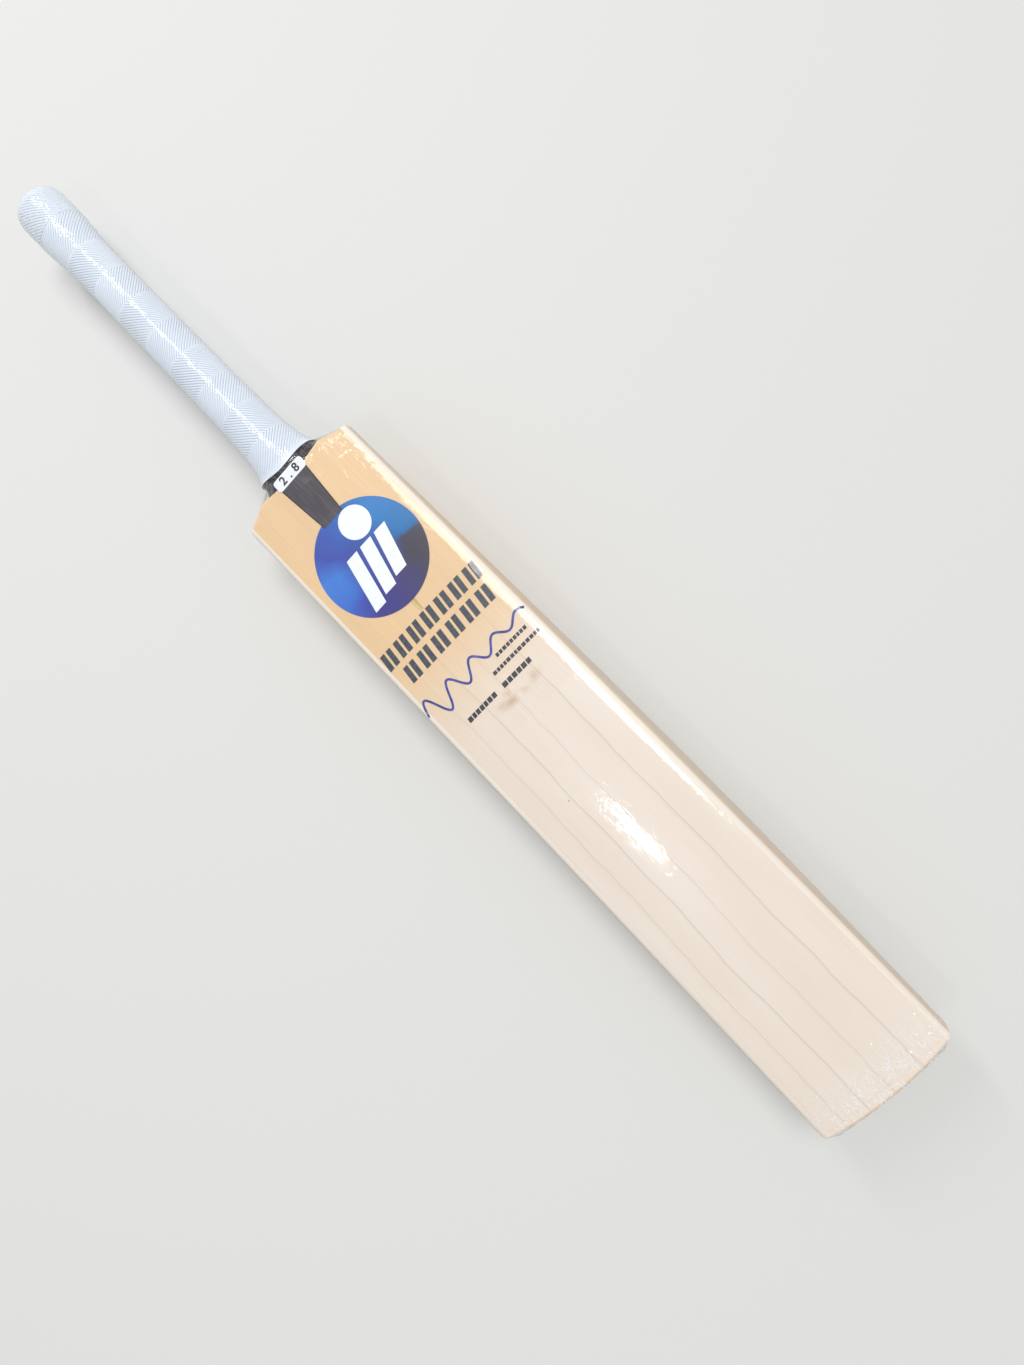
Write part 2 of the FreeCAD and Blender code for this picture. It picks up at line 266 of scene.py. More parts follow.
def join(name: str, parts: Sequence[Object]) -> Object:
    """Join objects into one.

    Args:
        name: the name of the joined object.
        parts: the objects, which are used up.

    Returns:
        The joined object.
    """
    only(parts[0])
    for part in parts:
        part.select_set(True)
    bpy.ops.object.join()
    joined = bpy.context.object
    joined.name = joined.data.name = name
    return joined


def dress(obj: Object, material: Material, slot: Slot) -> None:
    """Give a new piece its material and body, and say so.

    Args:
        obj: the piece.
        material: its material.
        slot: the record's slot that the material stands for; not used.
    """
    obj.data.materials.clear()
    obj.data.materials.append(material)
    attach(obj, BODY)
    log.info("piece %s: %d faces, %s", obj.name, len(obj.data.polygons), material.name)


def dress_node(name: str, material: Material) -> None:
    """Give a CAD node its material, and say so.

    Args:
        name: the node's name.
        material: its material.
    """
    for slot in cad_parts[name].material_slots:
        slot.material = material
    log.info("node %s: %s", name, material.name)


class Surface:
    """The outside of some CAD nodes and pieces, felt by rays."""

    def __init__(self, *things: str | Object) -> None:
        """Gather the triangles of the things to feel.

        Args:
            things: names of CAD nodes, or pieces made here.
        """
        points: list[Vector] = []
        faces: list[tuple[int, ...]] = []
        for thing in things:
            mesh = (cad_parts[thing] if isinstance(thing, str) else thing).data
            first = len(points)
            points += [vertex.co.copy() for vertex in mesh.vertices]
            faces += [tuple(first + i for i in face.vertices) for face in mesh.polygons]
        self.tree = BVHTree.FromPolygons(points, faces)

    def top(self, x: float, y: float) -> float:
        """Height of the highest surface at a place, or the floor's where there is none."""
        hit = self.tree.ray_cast(Vector((x, y, SKY)), Vector((0, 0, -1)))[0]
        return hit.z if hit else 0.0

    def radius(self, angle: float, y: float) -> float:
        """Distance of the outside from the handle's axis.

        Args:
            angle: the direction round the axis, from +X.
            y: the place along the handle.

        Returns:
            The distance, below 0 where the surface lies past the axis, and 0 where there is none.
        """
        out = Vector((math.cos(angle), 0, math.sin(angle)))
        axis = Vector((0, y, AXIS_HEIGHT))
        hit = self.tree.ray_cast(axis + out * SKY, -out)[0]
        return (hit - axis).dot(out) if hit else 0.0


@dataclass
class RoundSkin:
    """Smoothed radii of a tube-like surface, kept on a regular grid round and along it."""

    surface: Surface
    start: float
    end: float
    rows: int = 200
    columns: int = 72
    blur_rows: int = 3
    blur_columns: int = 2
    inset: float = 0.2
    table: np.ndarray = field(init=False)

    def __post_init__(self) -> None:
        """Feel the surface once, then smooth away the facets and kinks."""
        inset = self.inset * MM
        ys = np.linspace(self.start + inset, self.end - inset, self.rows)
        angles = np.arange(self.columns) * math.tau / self.columns
        table = np.array([[self.surface.radius(a, y) for a in angles] for y in ys])
        for _ in range(self.blur_columns):
            table = (np.roll(table, 1, 1) + 2 * table + np.roll(table, -1, 1)) / 4
        for _ in range(self.blur_rows):
            table[1:-1] = (table[:-2] + 2 * table[1:-1] + table[2:]) / 4
        self.table = table

    def at(self, angle: float, y: float) -> float:
        """Radius read off the table, blended between its rows and columns.

        Args:
            angle: the direction round the axis, from +X.
            y: the place along the handle.

        Returns:
            The radius.
        """
        row = min(max((y - self.start) / (self.end - self.start), 0), 1) * (self.rows - 1)
        column = (angle / math.tau % 1) * self.columns
        r, c = min(int(row), self.rows - 2), int(column) % self.columns
        fr, fc = row - r, column - int(column)
        low = self.table[r][c] * (1 - fc) + self.table[r][(c + 1) % self.columns] * fc
        high = self.table[r + 1][c] * (1 - fc) + self.table[r + 1][(c + 1) % self.columns] * fc
        return float(low * (1 - fr) + high * fr)


def round_point(angle: float, y: float, radius: float) -> Vector:
    """The point at an angle, a place along the handle and a distance from its axis."""
    return Vector((radius * math.cos(angle), y, AXIS_HEIGHT + radius * math.sin(angle)))


# --- finishes ------------------------------------------------------------------------------------


@dataclass(frozen=True)
class Willow:
    """Pressed willow, sanded and oiled: pale, with straight wide grain lines and a faint silky fibre.

    The grain lines are the yearly rings seen edge on, so they run the length of the blade and straight
    down through its thickness.
    """

    honey: str = "#F0CEA2"
    pale: str = "#EFE3D7"
    # Bare pale wood of the rolled edges, with a painted highlight on top of it.
    pale_edge_sheen: str = "#FBF5EA"
    # Tan for the wood's broad tone, and for the painted shade on the blade's sides.
    side: str = "#DDBE96"
    line: str = "#A6937F"
    fleck: str = "#C49A68"
    stain: str = "#B98A62"
    roughness: float = 0.5
    bump: float = 0.25
    relief: float = 0.2
    ior: float = 1.5
    line_places: tuple[float, ...] = (-34.0, -16.0, 4.0, 28.0)
    line_width: float = 0.6
    line_fade: float = 2.4
    line_strength: float = 0.42
    wander: float = 6.0
    fibre: tuple[float, float, float] = (0.9, 71.4, 0.9)
    broad: tuple[float, float, float] = (25.0, 111.1, 25.0)
    drift: tuple[float, float, float] = (142.9, 90.9, 200.0)
    smudge_cloud: float = 13.33
    honey_from: float = 335.0
    honey_to: float = 425.0
    line_span: float = 60.0
    smudge_at: float = 346.0
    smudge_x: float = 8.0
    smudge_wide: float = 21.0
    smudge_tall: float = 7.0
    knot_spacing: float = 34.0
    line_shift: float = 6.0
    taper_from: float = 110.0
    taper_to: float = 575.0
    taper: float = 2.0
    rolled_inner: float = 4.6
    rolled_outer: float = 3.6
    face_above: float = 50.0
    # Where the painted highlight on the top edges grows, from faint to strong.
    edge_sheen_from: float = 150.0
    edge_sheen_to: float = 400.0
    # How far in from the edge the painted shade on the sides starts, and where it is full.
    side_shade_inner: float = 0.9
    side_shade_outer: float = 0.2
    rim_inner: float = 1.5
    rim_outer: float = 0.6
    pale_tone: float = 0.12
    toe_crown: float = 3.2

    def grain(self, tree: NodeTree, coords: NodeSocket) -> NodeSocket:
        """Mask of the grain lines.

        Args:
            tree: the material's nodes.
            coords: Object coordinates.

        Returns:
            1 on a line, falling to 0 beside it: at once on one side and slowly on the other, as the
            late wood of a ring does.
        """
        parts = add(tree, "SeparateXYZ", {0: coords}).node.outputs
        drift = add(tree, "Mapping", {"Vector": coords, "Scale": scales(*self.drift)})
        drift = add(tree, "TexNoise", {"Vector": drift, "Scale": 1.0, "Detail": 4.0, "Roughness": 0.5})
        drift = add(tree, "MapRange", {"Value": drift, "To Min": -self.wander * MM,
                                       "To Max": self.wander * MM})
        lean = add(tree, "Math", {0: parts["Z"], 1: 0.1, 2: parts["X"]}, operation="MULTIPLY_ADD")
        ring = add(tree, "Math", {0: lean, 1: drift}, operation="ADD")
        span = self.line_span
        place = add(tree, "MapRange", {"Value": ring, "From Min": -span * MM, "From Max": span * MM})
        stops: list[tuple[float, Colour]] = []
        for number, line in enumerate(self.line_places):
            at = (line + self.line_shift + span) / (2 * span)
            weight = 1.0 if number % 2 else 0.75
            stops += [(at - self.line_fade / (2 * span), grey(0.0)),
                      (at - self.line_width / (2 * span), grey(0.18 * weight)),
                      (at, grey(weight)),
                      (at + self.line_width * 0.6 / (2 * span), grey(0.0))]
        return add(tree, "ValToRGB", {0: place}, stops=stops)

    def smudges(self, tree: NodeTree, coords: NodeSocket) -> NodeSocket:
        """Mask of the brown smudges where the honey tone ends, and of a few pin knots.

        Args:
            tree: the material's nodes.
            coords: Object coordinates.

        Returns:
            1 where a mark is darkest, and 0 on clean wood.
        """
        wide, tall = self.smudge_wide, self.smudge_tall
        middle = add(tree, "Mapping", {"Vector": coords, "Scale": (*scales(wide, tall), 0),
                                       "Location": (-self.smudge_x / wide,
                                                    -along(self.smudge_at) / (tall * MM), 0)})
        far = add(tree, "VectorMath", {0: middle}, output="Value", operation="LENGTH")
        near = add(tree, "MapRange", {"Value": far, "From Min": 1.25, "From Max": 0.3},
                   interpolation_type="SMOOTHSTEP")
        cloud = add(tree, "TexNoise", {"Vector": coords, "Scale": scales(self.smudge_cloud)[0],
                                       "Detail": 3.0})
        cloud = add(tree, "MapRange", {"Value": cloud, "From Min": 0.46, "From Max": 0.7, "To Max": 0.7})
        smudge = add(tree, "Math", {0: near, 1: cloud}, operation="MULTIPLY")
        cells = add(tree, "TexVoronoi", {"Vector": coords, "Scale": scales(self.knot_spacing)[0]},
                    output="Distance")
        knot = add(tree, "MapRange", {"Value": cells, "From Min": 0.026, "From Max": 0.012, "To Max": 0.8})
        return add(tree, "Math", {0: smudge, 1: knot}, operation="ADD", use_clamp=True)

    def colour(self, tree: NodeTree, coords: NodeSocket) -> tuple[NodeSocket, NodeSocket]:
        """Colour of the wood before edges and marks.

        Args:
            tree: the material's nodes.
            coords: Object coordinates.

        Returns:
            The colour socket and the fibre socket, which also drives the bump.
        """
        parts = add(tree, "SeparateXYZ", {0: coords}).node.outputs
        stretched = add(tree, "Mapping", {"Vector": coords, "Scale": scales(*self.fibre)})
        fibre = add(tree, "TexNoise", {"Vector": stretched, "Scale": 1.0, "Detail": 4.0, "Roughness": 0.6})
        broad = add(tree, "Mapping", {"Vector": coords, "Scale": scales(*self.broad)})
        broad = add(tree, "TexNoise", {"Vector": broad, "Scale": 1.0, "Detail": 4.0})
        honey = add(tree, "MapRange", {"Value": parts["Y"], "From Min": along(self.honey_from),
                                       "From Max": along(self.honey_to)}, interpolation_type="SMOOTHSTEP")
        wood = add(tree, "Mix", {0: honey, 6: linear(self.pale), 7: linear(self.honey)}, output=2,
                   data_type="RGBA")
        tone = add(tree, "MapRange", {"Value": broad, "From Min": 0.35, "From Max": 0.7})
        deep = add(tree, "MapRange", {"Value": honey, "To Min": self.pale_tone, "To Max": 0.35})
        tone = add(tree, "Math", {0: tone, 1: deep}, operation="MULTIPLY")
        wood = add(tree, "Mix", {0: tone, 6: wood, 7: linear(self.side)}, output=2, data_type="RGBA")
        silk = add(tree, "MapRange", {"Value": fibre, "From Min": 0.35, "From Max": 0.65, "To Max": 0.12})
        wood = add(tree, "Mix", {0: silk, 6: wood, 7: linear(self.fleck)}, output=2, data_type="RGBA")
        spots = self.smudges(tree, coords)
        wood = add(tree, "Mix", {0: spots, 6: wood, 7: linear(self.stain)}, output=2, data_type="RGBA")
        strength = add(tree, "MapRange", {"Value": honey, "To Min": self.line_strength,
                                          "To Max": self.line_strength * 0.3})
        lines = add(tree, "Math", {0: self.grain(tree, coords), 1: strength}, operation="MULTIPLY")
        wood = add(tree, "Mix", {0: lines, 6: wood, 7: linear(self.line)}, output=2, data_type="RGBA")
        return wood, fibre

    def material(self) -> Material:
        """The blade's material, with pale rolled edges that carry a painted highlight, sides in painted tan
        shade and a tan rim at the toe.

        Returns:
            The material.
        """
        material, tree, shader = new_material("oiled_willow")
        coords = add(tree, "TexCoord", output="Object")
        wood, fibre = self.colour(tree, coords)
        parts = add(tree, "SeparateXYZ", {0: coords}).node.outputs
        reach = add(tree, "Math", {0: parts["X"]}, operation="ABSOLUTE")
        half = add(tree, "MapRange", {"Value": parts["Y"], "From Min": along(self.taper_from),
                                      "From Max": along(self.taper_to), "To Min": BLADE_HALF,
                                      "To Max": BLADE_HALF - self.taper * MM})
        depth = add(tree, "Math", {0: half, 1: reach}, operation="SUBTRACT")
        # A pale strip along the top of each rolled edge: bare wood, lit up with a painted highlight that
        # grows towards the shoulders.
        rolled = add(tree, "MapRange", {"Value": depth, "From Min": self.rolled_inner * MM,
                                        "From Max": self.rolled_outer * MM})
        high = add(tree, "Math", {0: parts["Z"], 1: self.face_above * MM}, operation="GREATER_THAN")
        rolled = add(tree, "Math", {0: rolled, 1: high}, operation="MULTIPLY")
        bright = add(tree, "MapRange", {"Value": parts["Y"], "From Min": along(self.edge_sheen_from),
                                        "From Max": along(self.edge_sheen_to), "To Min": 0.35, "To Max": 0.85})
        rolled = add(tree, "Math", {0: rolled, 1: bright}, operation="MULTIPLY")
        wood = add(tree, "Mix", {0: rolled, 6: wood, 7: linear(self.pale_edge_sheen)}, output=2, data_type="RGBA")
        # Painted shade: the sides go tan, and the toe's end gets a tan rim too.
        side_shade = add(tree, "MapRange", {"Value": depth, "From Min": self.side_shade_inner * MM,
                                       "From Max": self.side_shade_outer * MM, "To Max": 0.7})
        bow = add(tree, "Math", {0: reach, 1: reach}, operation="MULTIPLY")
        bow = add(tree, "Math", {0: bow, 1: -self.toe_crown * MM / BLADE_HALF ** 2, 2: parts["Y"]},
                  operation="MULTIPLY_ADD")
        rim = add(tree, "MapRange", {"Value": bow, "From Min": along(self.rim_inner),
                                     "From Max": along(self.rim_outer), "To Max": 0.8})
        edge = add(tree, "Math", {0: side_shade, 1: rim}, operation="MAXIMUM")
        wood = add(tree, "Mix", {0: edge, 6: wood, 7: linear(self.side)}, output=2, data_type="RGBA")
        bump = add(tree, "Bump", {"Height": fibre, "Strength": self.bump, "Distance": self.relief * MM})
        plug(shader, {"Base Color": wood, "Roughness": self.roughness, "IOR": self.ior, "Normal": bump})
        return material


@dataclass(frozen=True)
class FacingSheet:
    """Fine glass scrim bonded to the face: a milky veil over the willow, whose grain shows through."""

    wood: Willow = Willow(honey="#EFE3D7", pale="#EFE3D7", side="#E6D5C4", fleck="#DDCBB9", line="#9B8C80",
                          pale_tone=0.4, line_strength=0.45)
    roughness: float = 0.32
    bump: float = 0.12
    relief: float = 0.05
    ior: float = 1.5
    thread: float = 0.9
    wave_turns: float = 3.2

    def material(self) -> Material:
        """The sheet's material, with its weave as a very low bump.

        Returns:
            The material.
        """
        material, tree, shader = new_material("glass_scrim_facing")
        coords = add(tree, "TexCoord", output="Object")
        wood, _ = self.wood.colour(tree, coords)
        fine = scales(self.thread)[0] / self.wave_turns
        across = add(tree, "TexWave", {"Vector": coords, "Scale": fine}, output="Fac", bands_direction="X")
        lengthwise = add(tree, "TexWave", {"Vector": coords, "Scale": fine}, output="Fac",
                         bands_direction="Y")
        weave = add(tree, "Math", {0: across, 1: lengthwise}, operation="MULTIPLY")
        bump = add(tree, "Bump", {"Height": weave, "Strength": self.bump, "Distance": self.relief * MM})
        plug(shader, {"Base Color": wood, "Roughness": self.roughness, "IOR": self.ior, "Normal": bump})
        return material


@dataclass(frozen=True)
class Cane:
    """Split cane, planed and glued: straw yellow, fine dark pores in its ends and streaks along it."""

    light: str = "#DDC08A"
    dark: str = "#A9834C"
    pore: tuple[float, float, float] = (0.45, 83.3, 0.45)
    roughness: float = 0.55
    bump: float = 0.3
    relief: float = 0.1

    def material(self) -> Material:
        """The cane's material.

        Returns:
            The material.
        """
        material, tree, shader = new_material("split_cane")
        coords = add(tree, "TexCoord", output="Object")
        drawn = add(tree, "Mapping", {"Vector": coords, "Scale": scales(*self.pore)})
        pores = add(tree, "TexVoronoi", {"Vector": drawn, "Scale": 0.6}, output="Distance")
        mask = add(tree, "MapRange", {"Value": pores, "From Min": 0.15, "From Max": 0.4, "To Min": 0.85,
                                      "To Max": 0.0})
        colour = add(tree, "Mix", {0: mask, 6: linear(self.light), 7: linear(self.dark)}, output=2,
                     data_type="RGBA")
        bump = add(tree, "Bump", {"Height": mask, "Strength": self.bump, "Distance": self.relief * MM},
                   invert=True)
        plug(shader, {"Base Color": colour, "Roughness": self.roughness, "Normal": bump})
        return material


@dataclass(frozen=True)
class SheetRubber:
    """Cut sheet rubber: black and dull, with a faint bloom."""

    colour: str = "#1C1B1D"
    bloom: str = "#3A383A"
    speck: float = 0.8
    roughness: float = 0.75

    def material(self) -> Material:
        """The inserts' material.

        Returns:
            The material.
        """
        material, tree, shader = new_material("cut_sheet_rubber")
        coords = add(tree, "TexCoord", output="Object")
        cloud = add(tree, "TexNoise", {"Vector": coords, "Scale": scales(self.speck)[0], "Detail": 3.0})
        amount = add(tree, "MapRange", {"Value": cloud, "From Min": 0.45, "From Max": 0.75, "To Max": 0.5})
        colour = add(tree, "Mix", {0: amount, 6: linear(self.colour), 7: linear(self.bloom)}, output=2,
                     data_type="RGBA")
        plug(shader, {"Base Color": colour, "Roughness": self.roughness})
        return material


@dataclass(frozen=True)
class WaxedThread:
    """Waxed linen thread, wound close: dark, with a twist in each strand and a slight shine."""

    colour: str = "#17171A"
    light: str = "#2E2E34"
    twist: float = 0.5
    roughness: float = 0.26
    bump: float = 0.4
    relief: float = 0.1

    def material(self, name: str) -> Material:
        """A thread's material.

        Args:
            name: the material's name.

        Returns:
            The material.
        """
        material, tree, shader = new_material(name)
        coords = add(tree, "TexCoord", output="Object")
        strand = add(tree, "TexNoise", {"Vector": coords, "Scale": scales(self.twist)[0], "Detail": 3.0})
        amount = add(tree, "MapRange", {"Value": strand, "From Min": 0.4, "From Max": 0.7})
        colour = add(tree, "Mix", {0: amount, 6: linear(self.colour), 7: linear(self.light)}, output=2,
                     data_type="RGBA")
        bump = add(tree, "Bump", {"Height": strand, "Strength": self.bump, "Distance": self.relief * MM})
        plug(shader, {"Base Color": colour, "Roughness": self.roughness, "Normal": bump})
        return material


@dataclass(frozen=True)
class GripRubber:
    """Moulded grip rubber: bluish white, soft sheen, with painted shade in the grooves between its ribs."""

    colour: str = "#E3EBF5"
    # Painted shade for the grooves and the seam.
    shade: str = "#B3C0D2"
    grain: float = 0.35
    patches: float = 22.2
    roughness: float = 0.34
    bump: float = 0.12
    relief: float = 0.05
    ior: float = 1.52

    def material(self) -> Material:
        """The grip's material. It reads the piece's own groove attribute, which holds how much painted shade
        each point gets.

        Returns:
            The material.
        """
        material, tree, shader = new_material("moulded_grip_rubber")
        coords = add(tree, "TexCoord", output="Object")
        cloud = add(tree, "TexNoise", {"Vector": coords, "Scale": scales(self.patches)[0], "Detail": 2.0})
        groove = add(tree, "Attribute", output="Fac", attribute_name="groove")
        uneven = add(tree, "MapRange", {"Value": cloud, "From Min": 0.3, "From Max": 0.7, "To Min": 0.55,
                                        "To Max": 1.0})
        # Painted shade: the grooves darken, a little unevenly.
        groove_shade_amount = add(tree, "Math", {0: groove, 1: uneven}, operation="MULTIPLY")
        colour = add(tree, "Mix", {0: groove_shade_amount, 6: linear(self.colour), 7: linear(self.shade)}, output=2,
                     data_type="RGBA")
        grain = add(tree, "TexNoise", {"Vector": coords, "Scale": scales(self.grain)[0]})
        bump = add(tree, "Bump", {"Height": grain, "Strength": self.bump, "Distance": self.relief * MM})
        plug(shader, {"Base Color": colour, "Roughness": self.roughness, "IOR": self.ior, "Normal": bump})
        return material


@dataclass(frozen=True)
class BadgePrint:
    """Glossy printed vinyl: blue that runs through indigo to a dark slate round the disc."""

    stops: tuple[tuple[float, str], ...] = (
        (0.0, "#3F7CDA"), (0.04, "#3F82DC"), (0.12, "#4050B0"), (0.23, "#3A66BC"), (0.37, "#3B86CC"),
        (0.51, "#2878B8"), (0.53, "#2B6AA6"), (0.545, "#454354"), (0.62, "#444250"), (0.72, "#45407A"),
        (0.84, "#3D3790"), (0.90, "#3C50B4"), (0.945, "#3A6FD0"), (1.0, "#3F7CDA"))
    middle: str = "#3C52A8"
    middle_radius: float = 26.0
    roughness: float = 0.22
    bump: float = 0.08
    relief: float = 0.05
    coat: float = 0.3
    dot: float = 0.5
    haze: float = 16.7
    soften: float = 0.03

    def material(self, centre: Vector) -> Material:
        """The badge's material.

        Args:
            centre: the middle of the disc, round which the colours turn.

        Returns:
            The material.
        """
        material, tree, shader = new_material("printed_vinyl")
        coords = add(tree, "TexCoord", output="Object")
        # Colours start at the left of the disc as the handle points up, and go clockwise.
        turned = add(tree, "Mapping", {"Vector": coords, "Location": (-centre.x, -centre.y, 0)})
        parts = add(tree, "SeparateXYZ", {0: turned}).node.outputs
        angle = add(tree, "Math", {0: parts["Y"], 1: parts["X"]}, operation="ARCTAN2")
        share = add(tree, "MapRange", {"Value": angle, "From Min": math.pi, "From Max": -math.pi})
        cloud = add(tree, "TexNoise", {"Vector": coords, "Scale": scales(self.haze)[0], "Detail": 2.0})
        soften = add(tree, "MapRange", {"Value": cloud, "To Min": -self.soften, "To Max": self.soften})
        share = add(tree, "Math", {0: share, 1: soften}, operation="ADD", use_clamp=True)
        stops = [(place, linear(tone)) for place, tone in self.stops]
        colour = add(tree, "ValToRGB", {0: share}, stops=stops)
        far = add(tree, "Math", {0: parts["X"], 1: parts["X"]}, operation="MULTIPLY")
        far = add(tree, "Math", {0: parts["Y"], 1: parts["Y"], 2: far}, operation="MULTIPLY_ADD")
        inner = add(tree, "MapRange", {"Value": far, "From Min": (self.middle_radius * MM) ** 2,
                                       "From Max": 0.0})
        colour = add(tree, "Mix", {0: inner, 6: colour, 7: linear(self.middle)}, output=2,
                     data_type="RGBA")
        dots = add(tree, "TexNoise", {"Vector": coords, "Scale": scales(self.dot)[0]})
        bump = add(tree, "Bump", {"Height": dots, "Strength": self.bump, "Distance": self.relief * MM})
        plug(shader, {"Base Color": colour, "Roughness": self.roughness, "Coat Weight": self.coat,
                      "Normal": bump})
        return material


@dataclass(frozen=True)
class ClearFilm:
    """Clear heat-shrunk film: a thin shine over everything, broken up where it has crinkled, with painted
    glints along the crinkles.
    """

    crinkle: float = 5.5
    draw: float = 2.2
    height: float = 0.8
    roughness: float = 0.08
    shine: float = 0.05
    grazing: float = 0.55
    # Strength of the painted glint lines along the crinkles.
    fold_glint: float = 0.6
    zones_end: float = 860.0
    # Colour and roughness of the painted glint lines.
    fold_glint_colour: str = "#FCFDFD"
    fold_glint_roughness: float = 0.3
    line_outer: float = 0.045
    line_inner: float = 0.015
    steepness: float = 4.0
    zones: tuple[tuple[float, float], ...] = ((-6, 1.0), (12, 1.0), (40, 0.14), (150, 0.05), (500, 0.06),
                                              (546, 0.3), (575, 0.4), (600, 0.3), (800, 0.3), (840, 0.7))

    def material(self) -> Material:
        """The film's material. Its zones say how crinkled it is at a distance from the toe, and so how
        strong the painted glint lines are.

        Returns:
            The material.
        """
        material, tree, shader = new_material("clear_shrink_film")
        coords = add(tree, "TexCoord", output="Object")
        parts = add(tree, "SeparateXYZ", {0: coords}).node.outputs
        low, high = self.zones[0][0], self.zones_end
        share = add(tree, "MapRange", {"Value": parts["Y"], "From Min": along(low), "From Max": along(high)})
        stops = [((place - low) / (high - low), grey(amount)) for place, amount in self.zones]
        zone = add(tree, "ValToRGB", {0: share}, stops=stops)
        cell = (self.crinkle, self.crinkle * self.draw, self.crinkle)
        drawn = add(tree, "Mapping", {"Vector": coords, "Scale": scales(*cell)})
        cloud = add(tree, "TexNoise", {"Vector": drawn, "Scale": 1.0, "Detail": 1.6, "Roughness": 0.5,
                                       "Distortion": 1.2})
        relief = add(tree, "Math", {0: cloud, 1: zone}, operation="MULTIPLY")
        bump = add(tree, "Bump", {"Height": relief, "Strength": 1.0, "Distance": 2 * self.height * MM})
        facing = add(tree, "LayerWeight", {"Blend": 0.5, "Normal": bump}, output="Facing")
        steep = add(tree, "Math", {0: facing, 1: self.steepness}, operation="POWER")
        gloss = add(tree, "Math", {0: steep, 1: self.grazing, 2: self.shine}, operation="MULTIPLY_ADD")
        clear = add(tree, "BsdfTransparent")
        mirror = add(tree, "BsdfAnisotropic", {"Roughness": self.roughness, "Normal": bump})
        film = add(tree, "MixShader", {0: gloss, 1: clear, 2: mirror})
        # Thin white lines along the crinkles: painted glints, strongest in the most crinkled zones.
        away = add(tree, "Math", {0: cloud, 1: 0.5}, operation="SUBTRACT")
        away = add(tree, "Math", {0: away}, operation="ABSOLUTE")
        line = add(tree, "MapRange", {"Value": away, "From Min": self.line_outer,
                                      "From Max": self.line_inner, "To Max": self.fold_glint})
        strong = add(tree, "MapRange", {"Value": zone, "From Min": 0.3, "From Max": 0.95})
        white = add(tree, "Math", {0: line, 1: strong}, operation="MULTIPLY")
        plug(shader, {"Base Color": linear(self.fold_glint_colour), "Roughness": self.fold_glint_roughness})
        film = add(tree, "MixShader", {0: white, 1: film, 2: shader.outputs[0]})
        tree.links.new(film, tree.nodes["Material Output"].inputs["Surface"])
        return material


@dataclass(frozen=True)
class PrintedInk:
    """Screen printed ink or printed paper: an even coat with a slight mottle of its base."""

    name: str
    colour: str
    worn: str
    roughness: float = 0.5
    bump: float = 0.1
    relief: float = 0.05
    mottle: float = 2.0
    streak: float = 1.0

    def material(self) -> Material:
        """The ink's material. Streak stretches the mottle along the bat.

        Returns:
            The material.
        """
        material, tree, shader = new_material(self.name)
        coords = add(tree, "TexCoord", output="Object")
        cell = (self.mottle, self.mottle * self.streak, self.mottle)
        drawn = add(tree, "Mapping", {"Vector": coords, "Scale": scales(*cell)})
        cloud = add(tree, "TexNoise", {"Vector": drawn, "Scale": 1.0, "Detail": 4.0})
        amount = add(tree, "MapRange", {"Value": cloud, "From Min": 0.4, "From Max": 0.75})
        colour = add(tree, "Mix", {0: amount, 6: linear(self.colour), 7: linear(self.worn)}, output=2,
                     data_type="RGBA")
        bump = add(tree, "Bump", {"Height": cloud, "Strength": self.bump, "Distance": self.relief * MM})
        plug(shader, {"Base Color": colour, "Roughness": self.roughness, "Normal": bump})
        return material


# --- sub-assemblies ------------------------------------------------------------------------------


@dataclass
class Blade:
    """The willow blade with its facing sheet."""

    def dress(self) -> None:
        """Give the willow and the facing their materials."""
        dress_node("blade", Willow().material())
        dress_node("face_sheet", FacingSheet().material())


@dataclass
class Handle:
    """The laminated cane handle: twelve slips, three rubber inserts and the twine round them."""

    def dress(self) -> None:
        """Give each node of the handle its material."""
        cane = Cane().material()
        rubber = SheetRubber().material()
        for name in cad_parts:
            if name.startswith("cane_slip"):
                dress_node(name, cane)
            elif name.startswith("rubber_insert"):
                dress_node(name, rubber)
        dress_node("handle_twine", WaxedThread(colour="#2A2A2E", light="#55555C").material("waxed_twine"))


@dataclass
class Binding:
    """Turns of thread over the shoulders, where the handle enters the blade."""

    pitch: float = 1.1
    ridge: float = 0.3
    samples: int = 5
    columns: int = 96
    wall: float = 0.7

    def build(self) -> Object:
        """Lay ridged turns on the binding's own outside, in its place.

        Returns:
            The wound turns.
        """
        low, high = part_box("shoulder_binding")
        skin = RoundSkin(Surface("shoulder_binding"), low.y, high.y, rows=120, columns=144, blur_rows=1)
        turns = (high.y - low.y) / (self.pitch * MM)
        rows = int(turns * self.samples)

        def place(across: float, share: float) -> Vector:
            """A point of the wound surface.

            Args:
                across: share of the way across, from 0 to 1.
                share: share of the way along, from 0 to 1.

            Returns:
                The point.
            """
            y = low.y + (high.y - low.y) * share
            angle = across * math.tau
            groove = abs(math.cos(math.pi * (share * turns + across)))
            return round_point(angle, y, skin.at(angle, y) - self.ridge * MM * groove ** 3)

        tube = grid("binding_turns", self.columns, rows, place, closed=True)
        modify(tube, "SOLIDIFY", thickness=self.wall * MM, offset=-1)
        outwards(tube)
        smooth(tube, 60)
        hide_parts("shoulder_binding")
        dress(tube, WaxedThread().material("black_binding_thread"), Slot.BINDING)
        return tube


